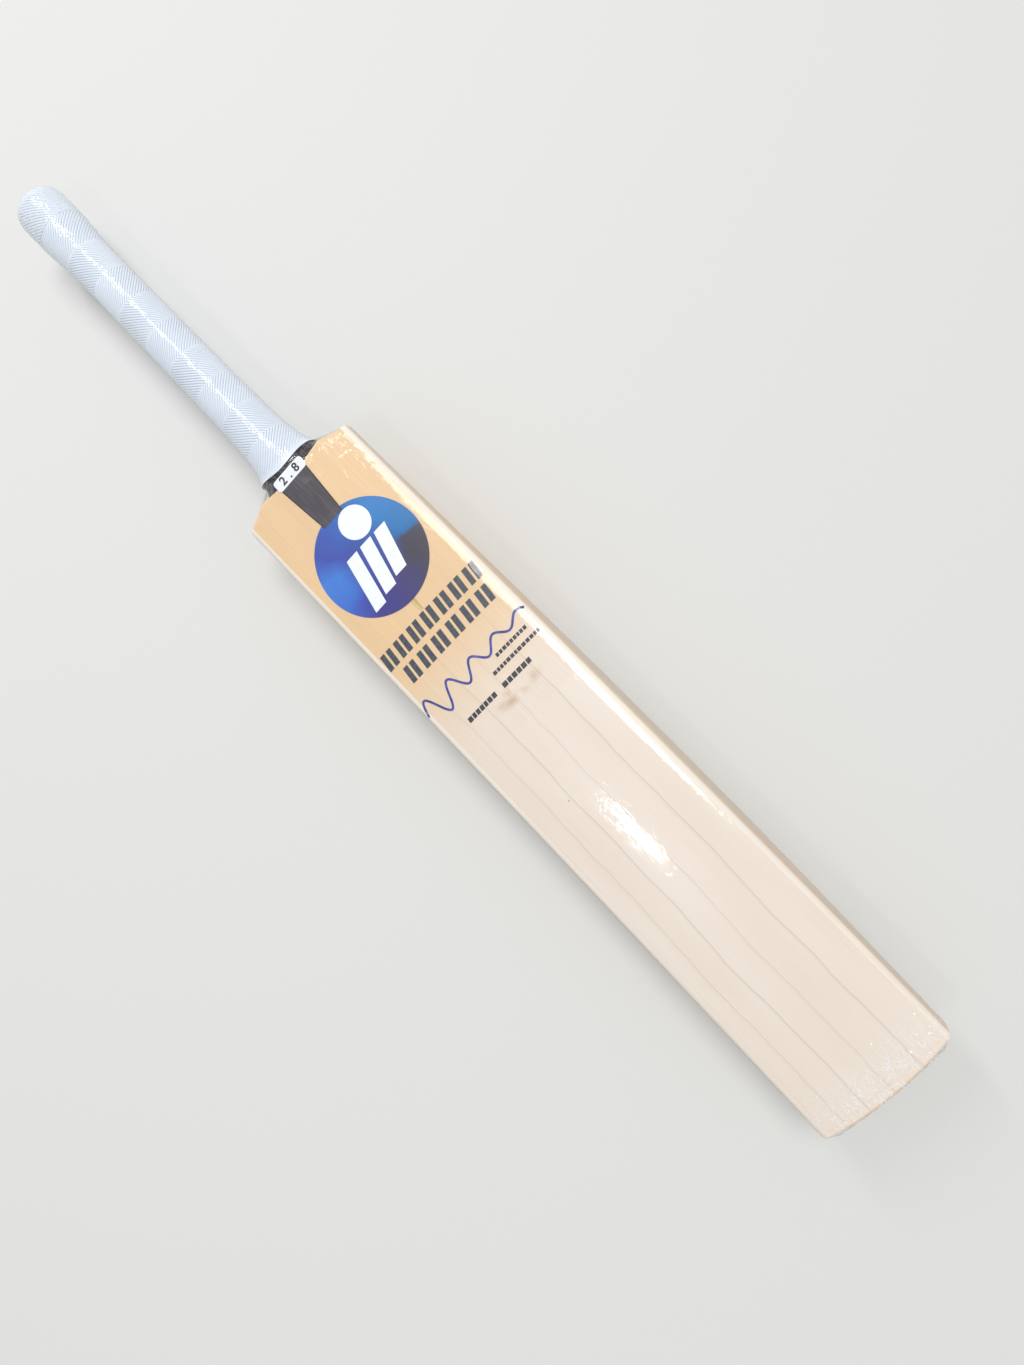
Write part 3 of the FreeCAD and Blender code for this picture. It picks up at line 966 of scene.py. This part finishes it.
@dataclass
class Grip:
    """The ribbed rubber sleeve, with its flared skirt and its thicker top."""

    ribs: int = 42
    samples: int = 8
    band: float = 28.5
    steps_per_band: int = 19
    handle_radius: float = 17.2
    groove_depth: float = 0.42
    rib_sharpness: float = 2.6
    wall: float = 1.5
    skirt_inside: tuple[float, float] = (4.0, 0.4)
    lip_rings: tuple[float, ...] = (0.0, 0.5)
    top_rings: tuple[float, ...] = (0.0, 0.3, 0.8)
    hole: float = 11.0
    # How far each ring of the end lies below it, and outside the hole.
    end_rings: tuple[tuple[float, float], ...] = ((0.0, 2.0), (0.0, 0.4), (0.6, 0.0), (3.0, 0.0))
    # The ribs start and stop softly: where, and over what length, at the lower and the upper edge.
    soft_low: tuple[float, float] = (2.5, 3.0)
    soft_high: tuple[float, float] = (3.0, 2.0)
    seam: float = 826.0
    seam_depth: float = 0.4
    seam_half: float = 0.9
    seam_step: float = 0.4
    seam_clear: float = 1.2
    seam_shade: float = 0.8
    rim_lift: float = 7.0
    rim_lift_right: float = 3.0
    rim_drop: float = 0.8
    rim_fade: float = 40.0
    rim_skin: float = 0.8

    def rows(self) -> list[float]:
        """Places of the rings along the grip, in step with the bands and close together at the seam.

        Returns:
            Distances from the grip's lower edge in metres, sorted.
        """
        length = GRIP_HIGH.y - GRIP_LOW.y
        seam = along(self.seam) - GRIP_LOW.y
        step = self.band * MM / self.steps_per_band
        low, high = math.ceil(-seam / step), math.floor((length - seam) / step)
        steps = {round(seam + number * step, 6) for number in range(low, high + 1)}
        steps |= {place * MM for place in self.lip_rings}
        steps |= {length - place * MM for place in self.top_rings}
        steps |= {round(seam + number * self.seam_step * MM, 6) for number in range(-3, 4)}
        return sorted(steps)

    def twist(self, y: float) -> float:
        """How far the ribs have turned.

        Args:
            y: distance from the grip's lower edge.

        Returns:
            The turn in radians.
        """
        bands = (y + GRIP_LOW.y - along(self.seam)) / (self.band * MM)
        number = math.floor(bands)
        within = bands - number
        way = RibTurn.RIGHT if number % 2 == 0 else RibTurn.LEFT
        turn = self.band / self.handle_radius
        return turn * (within if way is RibTurn.RIGHT else 1 - within)

    def rim(self, angle: float, y: float) -> float:
        """How far the curved lower rim pushes a ring up the handle: more on the left than on the right.

        Args:
            angle: the direction round the axis, from +X.
            y: the ring's distance from the grip's lower edge.

        Returns:
            The distance in metres.
        """
        fade = max(0.0, 1 - y / (self.rim_fade * MM))
        lift = self.rim_lift_right if math.cos(angle) > 0 else self.rim_lift
        curve = lift * math.cos(angle) ** 2
        if math.sin(angle) > 0:
            curve -= self.rim_drop * math.sin(angle) ** 4
        return curve * MM * fade ** 2

    def build(self) -> Object:
        """Make the sleeve with real ribs, its lips and its end hole.

        Returns:
            The sleeve.
        """
        skin = RoundSkin(Surface("rubber_grip"), GRIP_LOW.y, GRIP_HIGH.y, rows=240, columns=72)
        rows = self.rows()
        length = rows[-1]
        seam = along(self.seam) - GRIP_LOW.y
        columns = self.ribs * self.samples
        inside = [place * MM for place in self.skirt_inside]
        end = [(length - down * MM, self.hole + out) for down, out in self.end_rings]
        total = len(inside) + len(rows) + len(end) - 1
        grooves: dict[tuple[int, int], float] = {}

        def spot(column: int, y: float, inset: float) -> Vector:
            """A point on or under the skin, moved up where the rim curves.

            Args:
                column: number of the column round the sleeve.
                y: distance from the grip's lower edge.
                inset: depth below the skin.

            Returns:
                The point.
            """
            angle = column / columns * math.tau + self.twist(y)
            lift = self.rim(angle, y)
            place = GRIP_LOW.y + y + lift
            return round_point(angle, place, skin.at(angle, place - lift * self.rim_skin) - inset)

        def place(across: float, share: float) -> Vector:
            """A point of the sleeve: up inside the skirt, along the outside and in over the end.

            Args:
                across: share of the way across, from 0 to 1.
                share: share of the way along, from 0 to 1.

            Returns:
                The point.
            """
            ring = round(share * total)
            column = round(across * columns) % columns
            if ring < len(inside):
                return spot(column, inside[ring], self.wall * MM)
            if ring >= len(inside) + len(rows):
                y, hole = end[ring - len(inside) - len(rows)]
                angle = column / columns * math.tau + self.twist(length)
                return round_point(angle, GRIP_LOW.y + y, hole * MM)
            y = rows[ring - len(inside)]
            phase = column / self.samples % 1
            (low, rise), (high, fall) = self.soft_low, self.soft_high
            fade = min(1, max(0, y - low * MM) / (rise * MM))
            fade *= min(1, max(0, length - high * MM - y) / (fall * MM))
            away = abs(y - seam)
            fade *= min(1, away / (self.seam_clear * MM))
            dip = max(0.0, math.cos(math.pi * min(abs(phase - round(phase)) * self.rib_sharpness, 0.5)))
            # How much painted shade the point gets: in the grooves, and near the seam.
            grooves[ring, column] = min(1, dip * fade + max(0, 1 - away / (self.seam_shade * MM)))
            notch = max(0, 1 - away / (self.seam_half * MM))
            depth = self.groove_depth * dip * fade + self.seam_depth * notch
            return spot(column, y, depth * MM)

        sleeve = grid("grip_sleeve", columns, total, place)
        shades = [grooves.get((i // (columns + 1), i % (columns + 1) % columns), 0.0)
                  for i in range(len(sleeve.data.vertices))]
        attribute = sleeve.data.attributes.new("groove", "FLOAT", "POINT")
        attribute.data.foreach_set("value", shades)
        in_edit(sleeve, lambda: bpy.ops.mesh.remove_doubles(threshold=WELD))
        outwards(sleeve)
        smooth(sleeve, 70)
        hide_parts("rubber_grip")
        dress(sleeve, GripRubber().material(), Slot.GRIP)
        return sleeve


@dataclass(frozen=True)
class PrintRow:
    """A row of small blocks: its ends, its middle's distance from the toe, its height and its count."""

    start: float
    end: float
    middle: float
    height: float
    count: int


@dataclass
class Marks:
    """The printed marks: badge motif, title rows, flourish and small print, all without lettering."""

    surface: Surface = field(default_factory=lambda: Surface("blade", "face_sheet", "badge", "splice_cover"))
    stroke: float = 4.2
    stroke_gap: float = 1.9
    stroke_height: float = 12.5
    # Each title row's left and right end, the place of its middle, and how many pairs of strokes it has.
    title_upper: tuple[float, float, float, int] = (-46.5, 46.5, 423, 7)
    title_lower: tuple[float, float, float, int] = (-40, 42, 406, 6)
    lift: float = 0.04
    thickness: float = 0.08
    cell: float = 1.6
    slant: float = 0.12
    smooth_angle: float = 40
    foil_half: tuple[float, float] = (9.2, 12.8)
    foil_lead: float = 3.0
    foil_lift: float = 0.06
    foil_rows: int = 30
    foil_columns: int = 20
    foil_feel: float = 0.6
    line_from: float = 0.93
    line_lift: float = 0.12
    label_corner: float = 2.4
    digit_size: float = 8.8
    digit_weight: float = 0.22
    digit_spacing: float = 1.75
    label_spread: float = 1.07
    label_bevel: float = 0.25
    label_cells: tuple[int, int] = (42, 18)
    print_seed: int = 11
    print_gap: float = 0.8
    print_widths: tuple[float, float] = (0.8, 1.3)
    print_rows: tuple[PrintRow, ...] = (PrintRow(14, 42, 372, 2.6, 9), PrintRow(4, 47, 364.5, 2.6, 13),
                                        PrintRow(-31, -4, 354.5, 3.6, 7), PrintRow(3, 29, 354.5, 3.6, 6))
    wave_width: float = 1.7
    waves: float = 4.5
    wave_steps: int = 220
    wave_start: tuple[float, float] = (-50.0, 376.0)
    wave_run: tuple[float, float] = (100.0, 6.0)
    wave_height: float = 11.0
    wave_decay: float = 1.5
    stumps: int = 3
    stump_left: float = -19.5
    stump_pitch: float = 14.0
    stump_width: float = 10.5
    stump_lean: float = 5.0
    stump_foot: float = -29.0
    stump_step: float = 3.5
    stump_top: float = 10.0
    ball_middle: tuple[float, float] = (9.0, 24.5)
    ball_radius: float = 12.0
    ball_cells: int = 24

    def on_face(self, x: float, s: float) -> Vector:
        """The point just above the face at an x and a distance from the toe, both in millimetres."""
        y = along(s)
        return Vector((x * MM, y, self.surface.top(x * MM, y) + self.lift * MM))

    def inked(self, piece: Object) -> Object:
        """Give a sheet that lies on the face the thickness of an ink film.

        Args:
            piece: the sheet.

        Returns:
            The same piece.
        """
        modify(piece, "SOLIDIFY", thickness=self.thickness * MM, offset=1)
        smooth(piece, self.smooth_angle)
        return piece

    def patch(self, corners: Sequence[tuple[float, float]]) -> Object:
        """A thin four-sided patch that follows the face.

        Args:
            corners: x and distance from the toe of its four corners, going round.

        Returns:
            The patch.
        """
        a, b, c, d = (Vector((x, s)) for x, s in corners)
        columns = max(1, math.ceil(max((b - a).length, (c - d).length) / self.cell))
        rows = max(1, math.ceil(max((d - a).length, (c - b).length) / self.cell))

        def place(across: float, up: float) -> Vector:
            """A point of the patch.

            Args:
                across: share of the way across, from 0 to 1.
                up: share of the way along, from 0 to 1.

            Returns:
                The point.
            """
            return self.on_face(*a.lerp(b, across).lerp(d.lerp(c, across), up))

        return grid("patch", columns, rows, place)

    def raised(self, name: str, patches: Sequence[Object]) -> Object:
        """Join patches and give them the thickness of an ink film."""
        return self.inked(join(name, patches))

    def block_row(self, start: float, end: float, middle: float, height: float,
                  widths: Sequence[float], gap: float) -> list[Object]:
        """A row of slanted blocks.

        Args:
            start: x of the row's left end.
            end: x of its right end.
            middle: distance of its middle from the toe.
            height: height of the blocks.
            widths: relative width of each block.
            gap: space between blocks.

        Returns:
            One patch for each block.
        """
        room = end - start - gap * (len(widths) - 1)
        unit = room / sum(widths)
        lean = height * self.slant / 2
        blocks = []
        x = start
        for width in widths:
            right = x + width * unit
            blocks.append(self.patch([(x - lean, middle - height / 2), (right - lean, middle - height / 2),
                                      (right + lean, middle + height / 2), (x + lean, middle + height / 2)]))
            x = right + gap
        return blocks

    def stroke_row(self, start: float, end: float, middle: float, groups: int) -> list[Object]:
        """A row of slanted strokes in pairs, spread evenly.

        Args:
            start: x of the row's left end.
            end: x of its right end.
            middle: distance of its middle from the toe.
            groups: number of pairs.

        Returns:
            One patch for each stroke.
        """
        pair = 2 * self.stroke + self.stroke_gap
        step = (end - start - pair) / (groups - 1)
        strokes = []
        for number in range(groups):
            left = start + number * step
            strokes += self.block_row(left, left + pair, middle, self.stroke_height, (1, 1), self.stroke_gap)
        return strokes

    def titles(self) -> None:
        """Two rows of slate strokes below the badge."""
        ink = PrintedInk("slate_ink", "#3A414D", "#565C66").material()
        upper = self.stroke_row(*self.title_upper)
        lower = self.stroke_row(*self.title_lower)
        dress(self.raised("title_blocks_upper", upper), ink, Slot.COVER)
        dress(self.raised("title_blocks_lower", lower), ink, Slot.COVER)

    def small_print(self) -> None:
        """Rows of small blocks in place of small print."""
        draw = random.Random(self.print_seed)
        ink = PrintedInk("dark_ink", "#2E2E38", "#4A4A55").material()
        rows = []
        for row in self.print_rows:
            widths = [draw.uniform(*self.print_widths) for _ in range(row.count)]
            rows += self.block_row(row.start, row.end, row.middle, row.height, widths, self.print_gap)
        dress(self.raised("small_print_blocks", rows), ink, Slot.COVER)

    def flourish(self) -> None:
        """One plain dying wave in blue ink."""
        start, run = Vector(self.wave_start), Vector(self.wave_run)

        def middle(share: float) -> Vector:
            """A point of the wave's middle line.

            Args:
                share: share of the way along the wave.

            Returns:
                Its x and its distance from the toe.
            """
            size = self.wave_height * math.exp(-self.wave_decay * share)
            return start + run * share + Vector((0, size * math.sin(math.tau * self.waves * share)))

        def place(across: float, up: float) -> Vector:
            """A point of the stroke.

            Args:
                across: share of the way across, from 0 to 1.
                up: share of the way along, from 0 to 1.

            Returns:
                The point.
            """
            ahead = (middle(up + 0.001) - middle(up - 0.001)).normalized()
            side = Vector((-ahead.y, ahead.x)) * (across - 0.5) * self.wave_width
            return self.on_face(*(middle(up) + side))

        stroke = grid("pen_flourish", 1, self.wave_steps, place)
        outwards_up(stroke)
        self.inked(stroke)
        ink = PrintedInk("blue_ink", "#35367F", "#4E66C0", mottle=6.0).material()
        dress(stroke, ink, Slot.COVER)

    def motif(self) -> None:
        """Three stumps and a ball in white on the badge."""
        white = PrintedInk("white_ink", "#F8FBFE", "#EDF3F9").material()
        low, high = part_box("badge")
        centre = ((low.y + high.y) / 2 - TOE) / MM
        stumps = []
        lean = self.stump_lean
        for number in range(self.stumps):
            left = self.stump_left + self.stump_pitch * number
            right = left + self.stump_width
            foot, top = centre + self.stump_foot + self.stump_step * number, centre + self.stump_top
            stumps.append(self.patch([(left - lean, foot), (right - lean, foot), (right + lean, top),
                                      (left + lean, top)]))
        dress(self.raised("badge_stumps", stumps), white, Slot.BADGE)
        ball_x, ball_up = self.ball_middle

        def place(across: float, up: float) -> Vector:
            """A point of the ball's disc, from a square grid rounded off.

            Args:
                across: share of the way across, from 0 to 1.
                up: share of the way along, from 0 to 1.

            Returns:
                The point.
            """
            u, v = across * 2 - 1, up * 2 - 1
            x = ball_x + self.ball_radius * u * math.sqrt(1 - v * v / 2)
            return self.on_face(x, centre + ball_up + self.ball_radius * v * math.sqrt(1 - u * u / 2))

        disc = self.inked(grid("badge_ball", self.ball_cells, self.ball_cells, place))
        dress(disc, white, Slot.BADGE)

    def cover(self) -> None:
        """The dark foil over the splice, draped as one piece, with a darker line along both edges."""
        low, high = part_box("splice_cover")
        under = Surface("blade", "badge", "splice_cover", "shoulder_binding")
        start, end = low.y - self.foil_lead * MM, high.y
        tip, top = self.foil_half
        feel = self.foil_feel * MM

        def strip(name: str, from_x: float, to_x: float, lift: float, columns: int) -> Object:
            """A strip of the foil.

            Args:
                name: the strip's name.
                from_x: its left side, as a share of the foil's half width.
                to_x: its right side.
                lift: height above the surface.
                columns: number of faces across.

            Returns:
                The strip.
            """

            def place(across: float, up: float) -> Vector:
                """A point of the strip, on the highest surface near it.

                Args:
                    across: share of the way across, from 0 to 1.
                    up: share of the way along, from 0 to 1.

                Returns:
                    The point.
                """
                y = start + (end - start) * up
                half = tip + (top - tip) * up
                x = half * (from_x + (to_x - from_x) * across) * MM
                near = max(under.top(x + dx, y) for dx in (-feel, 0, feel))
                return Vector((x, y, near + lift * MM))

            piece = grid(name, columns, self.foil_rows, place)
            outwards_up(piece)
            return self.inked(piece)

        sheet = strip("splice_foil", -1, 1, self.foil_lift, self.foil_columns)
        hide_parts("splice_cover")
        dress(sheet, PrintedInk("charcoal_foil", "#4C484F", "#5E5A61", roughness=0.34, mottle=1.6,
                                streak=12).material(), Slot.COVER)
        lines = join("splice_foil_lines", [strip("line", -1, -self.line_from, self.line_lift, 1),
                                           strip("line", self.line_from, 1, self.line_lift, 1)])
        dress(lines, PrintedInk("black_line_ink", "#2A282C", "#38363B").material(), Slot.COVER)

    def label(self) -> Object:
        """The white label: a plate with round corners and the weight in digits.

        Returns:
            The plate.
        """
        low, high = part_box("weight_label")
        half = Vector(((high.x - low.x) / 2 * self.label_spread, (high.y - low.y) / 2))
        middle = (low + high) / 2
        corner = self.label_corner * MM

        def place(across: float, up: float) -> Vector:
            """A point of the plate's top, with the corners drawn in to arcs.

            Args:
                across: share of the way across, from 0 to 1.
                up: share of the way along, from 0 to 1.

            Returns:
                The point.
            """
            x, y = (across * 2 - 1) * half.x, (up * 2 - 1) * half.y
            over = Vector((abs(x) - half.x + corner, abs(y) - half.y + corner))
            if min(over) > 0:
                over *= max(over) / over.length
                x = math.copysign(half.x - corner + over.x, x)
                y = math.copysign(half.y - corner + over.y, y)
            return Vector((middle.x + x, middle.y + y, high.z))

        plate = grid("label_plate", *self.label_cells, place)
        outwards_up(plate)
        modify(plate, "SOLIDIFY", thickness=high.z - low.z, offset=-1)
        modify(plate, "BEVEL", width=self.label_bevel * MM, segments=2, limit_method="ANGLE")
        smooth(plate, self.smooth_angle)
        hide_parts("weight_label")
        dress(plate, PrintedInk("label_paper", "#F4F6FB", "#E9ECF4").material(), Slot.LABEL)
        deselect()
        bpy.ops.object.text_add()
        text = bpy.context.object
        text.data.body = "2.8"
        text.data.size = self.digit_size * MM
        text.data.offset = self.digit_weight * MM
        text.data.space_character = self.digit_spacing
        text.data.align_x = "CENTER"
        text.data.align_y = "CENTER"
        text.data.extrude = self.thickness * MM / 2
        only(text)
        bpy.ops.object.convert(target="MESH")
        digits = bpy.context.object
        digits.name = digits.data.name = "label_digits"
        digits.data.transform(Matrix.Translation((middle.x, middle.y, high.z + self.thickness * MM / 2)))
        smooth(digits, 30)
        dress(digits, PrintedInk("digit_ink", "#1F2026", "#34353C").material(), Slot.LABEL)
        return plate

    def dress(self) -> None:
        """Give the printed badge, a CAD node, its material."""
        low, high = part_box("badge")
        dress_node("badge", BadgePrint().material((low + high) / 2))

    def build(self) -> Object:
        """Lay all the marks on the face.

        Returns:
            The label, the highest of them.
        """
        self.motif()
        self.titles()
        self.flourish()
        self.small_print()
        self.cover()
        return self.label()


@dataclass
class ShrinkFilm:
    """Clear packing film, shrunk over the whole bat: it bridges the hollows and ends in a welded lip."""

    gap: float = 0.35
    columns: int = 144
    step: float = 4.0
    slack: float = 1.7
    weld_height: float = 55.0
    lip: float = 4.5
    lip_half: float = 15.0
    least_facing: float = 0.05
    floor_gap: float = 0.03
    toe_rings: tuple[float, ...] = (0.3, 1.0, 2.0, 3.2, 4.6, 6.5)
    body_from: float = 9.0
    body_to: float = 3.0
    end_rings: tuple[float, ...] = (2.2, 1.2, 0.3)
    # How far past the toe each ring of the weld lies, its width, its height and its share of the lip.
    weld_rings: tuple[tuple[float, float, float, float], ...] = (
        (0.8, 0.95, 0, 1), (0.8, 0.95, 0.012, 1), (0.7, 0.96, 0.012, 0), (0.6, 0.97, 0.12, 0),
        (0.3, 0.985, 0.6, 0), (0, 0.995, 0.97, 0))
    cap_shares: tuple[float, ...] = (0.96, 0.75, 0.45, 0.15, 0)

    def hull(self, surface: Surface, y: float) -> np.ndarray:
        """Radii of the tight film round the bat at one place.

        Args:
            surface: what the film goes round.
            y: the place along the bat.

        Returns:
            One distance from the handle's axis for each column.
        """
        turns = np.arange(self.columns * 2) * math.pi / self.columns
        radii = np.array([surface.radius(angle, y) for angle in turns])
        facing = np.cos(turns[:, None] - turns[None, :])
        reach = (radii[:, None] * facing).max(axis=0) + self.gap * MM
        tight = np.where(facing > self.least_facing, reach[None, :] / np.maximum(facing, self.least_facing),
                         1.0).min(axis=1)
        return tight[::2]

    def rings(self, surface: Surface) -> list[list[Vector]]:
        """Every ring of the film, from the welded lip round the toe to the handle's end.

        Args:
            surface: what the film goes round.

        Returns:
            The rings' points.
        """
        end = (GRIP_HIGH.y - TOE) / MM
        places = [*self.toe_rings, *np.arange(self.body_from, end - self.body_to, self.step)]
        places += [end - short for short in self.end_rings]
        ys = np.array([along(place) for place in places])
        table = np.array([self.hull(surface, y) for y in ys])
        for rows in (range(1, len(ys)), range(len(ys) - 2, -1, -1)):
            for row in rows:
                before = row - 1 if rows.step > 0 else row + 1
                slide = self.slack * abs(ys[row] - ys[before])
                table[row] = np.maximum(table[row], table[before] - slide)
        turns = np.arange(self.columns) * math.tau / self.columns

        def ring(y: float, radii: np.ndarray, wide: float = 1, tall: float = 1,
                 lip: float = 0) -> list[Vector]:
            """A ring of points, drawn in towards the weld when wide or tall is under 1.

            Args:
                y: the ring's place along the bat.
                radii: its distances from the handle's axis.
                wide: share of its width that it keeps.
                tall: share of its height that it keeps.
                lip: how far its middle reaches out, in millimetres.

            Returns:
                The points.
            """
            points = []
            for turn, radius in zip(turns, radii):
                point = round_point(turn, y, radius)
                weld = self.weld_height * MM
                point.x *= wide
                point.z = max(weld + (point.z - weld) * tall, self.floor_gap * MM)
                point.y -= lip * MM * math.exp(-(point.x / (self.lip_half * MM)) ** 2)
                points.append(point)
            return points

        toe = TOE - self.gap * MM
        shut = [ring(toe - past * MM, table[0], wide, tall, self.lip * share)
                for past, wide, tall, share in self.weld_rings]
        body = [ring(y, radii) for y, radii in zip(ys, table)]
        cap = [ring(GRIP_HIGH.y + self.gap * MM, table[-1] * share) for share in self.cap_shares]
        return shut + body + cap

    def build(self, *pieces: Object) -> Object:
        """Shrink the film over the blade and the given pieces.

        Args:
            pieces: what the film covers besides the blade, its sheet and its badge.

        Returns:
            The film.
        """
        rings = self.rings(Surface("blade", "face_sheet", "badge", *pieces))
        last = len(rings) - 1

        def place(across: float, share: float) -> Vector:
            """A point of the film.

            Args:
                across: share of the way across, from 0 to 1.
                share: share of the way along, from 0 to 1.

            Returns:
                The point.
            """
            return rings[round(share * last)][round(across * self.columns) % self.columns]

        film = grid("shrink_film", self.columns, last, place, closed=True)
        outwards(film)
        smooth(film, 60)
        dress(film, ClearFilm().material(), Slot.FACING)
        return film


@dataclass(frozen=True)
class Lamp:
    """A soft lamp: where it hangs, the point it faces, the length of its two sides and its watts."""

    place: tuple[float, float, float]
    aim: tuple[float, float, float]
    size: tuple[float, float]
    watts: float

    def hang(self) -> None:
        """Add the lamp."""
        place = Vector(self.place)
        deselect()
        bpy.ops.object.light_add(type="AREA", location=place)
        lamp = bpy.context.object
        lamp.rotation_euler = (Vector(self.aim) - place).to_track_quat("-Z", "Y").to_euler()
        lamp.data.shape = "RECTANGLE"
        lamp.data.size, lamp.data.size_y = self.size
        lamp.data.energy = self.watts


@dataclass
class Studio:
    """Pale floor, soft light and the camera."""

    focal: float = 27.03
    sensor: float = 36.0
    eye: tuple[float, float, float] = (0.1455, -0.1590, 0.7257)
    right: tuple[float, float, float] = (0.68498, -0.6921, -0.22758)
    up: tuple[float, float, float] = (0.70054, 0.71147, -0.05517)
    floor_size: float = 60.0
    floor_colour: str = "#DCDCDA"
    floor_roughness: float = 0.8
    sun_place: tuple[float, float, float] = (0.6, 0.25, 1.6)
    sun_strength: float = 1.3
    sun_spread: float = 25
    # The first lamp draws the long glint on the handle, the second the bright patch on the face.
    lamps: tuple[Lamp, ...] = (Lamp((0.3, 1.15, 1.3), (0, 0.28, 0), (0.18, 1.0), 6.0),
                               Lamp((-0.35, -0.28, 1.56), (0, -0.2, 0), (0.1, 0.08), 0.9))
    sky_colour: str = "#F5F6F6"
    sky_strength: float = 0.6

    def camera(self) -> None:
        """Stand the camera over the bat."""
        deselect()
        bpy.ops.object.camera_add()
        camera = bpy.context.object
        right, up = Vector(self.right).normalized(), Vector(self.up)
        back = right.cross(up).normalized()
        up = back.cross(right)
        turn = Matrix((right, up, back)).transposed().to_4x4()
        camera.matrix_world = Matrix.Translation(self.eye) @ turn
        camera.data.lens = self.focal
        camera.data.sensor_width = self.sensor
        camera.data.clip_start = 0.01
        bpy.context.scene.camera = camera

    def floor(self) -> None:
        """A plain pale floor."""
        half = self.floor_size / 2
        floor = grid("floor", 4, 4, lambda u, v: Vector(((u * 2 - 1) * half, (v * 2 - 1) * half, 0)))
        material, tree, shader = new_material("studio_floor")
        plug(shader, {"Base Color": linear(self.floor_colour), "Roughness": self.floor_roughness})
        floor.data.materials.append(material)

    def sun(self) -> None:
        """Light everything evenly from one side, as a bright hazy sky does."""
        place = Vector(self.sun_place)
        deselect()
        bpy.ops.object.light_add(type="SUN", location=place)
        sun = bpy.context.object
        sun.rotation_euler = (-place).to_track_quat("-Z", "Y").to_euler()
        sun.data.energy = self.sun_strength
        sun.data.angle = math.radians(self.sun_spread)

    def sky(self) -> None:
        """Fill the shade with an even pale sky."""
        world = bpy.data.worlds.new("soft_sky")
        world.use_nodes = True
        plug(world.node_tree.nodes["Background"], {"Color": linear(self.sky_colour),
                                                   "Strength": self.sky_strength})
        bpy.context.scene.world = world

    def build(self) -> None:
        """Set up the camera, the floor and the lights."""
        self.camera()
        self.floor()
        self.sun()
        for lamp in self.lamps:
            lamp.hang()
        self.sky()
        bpy.context.scene.view_settings.view_transform = "Standard"


def main() -> None:
    """Build and dress the bat, then the studio."""
    logging.basicConfig(level=logging.INFO, format="%(name)s: %(message)s")
    blade, handle, marks = Blade(), Handle(), Marks()
    blade.dress()
    handle.dress()
    turns = Binding().build()
    sleeve = Grip().build()
    marks.dress()
    label = marks.build()
    ShrinkFilm().build(turns, sleeve, label)
    Studio().build()


if __name__ == "__main__":
    main()
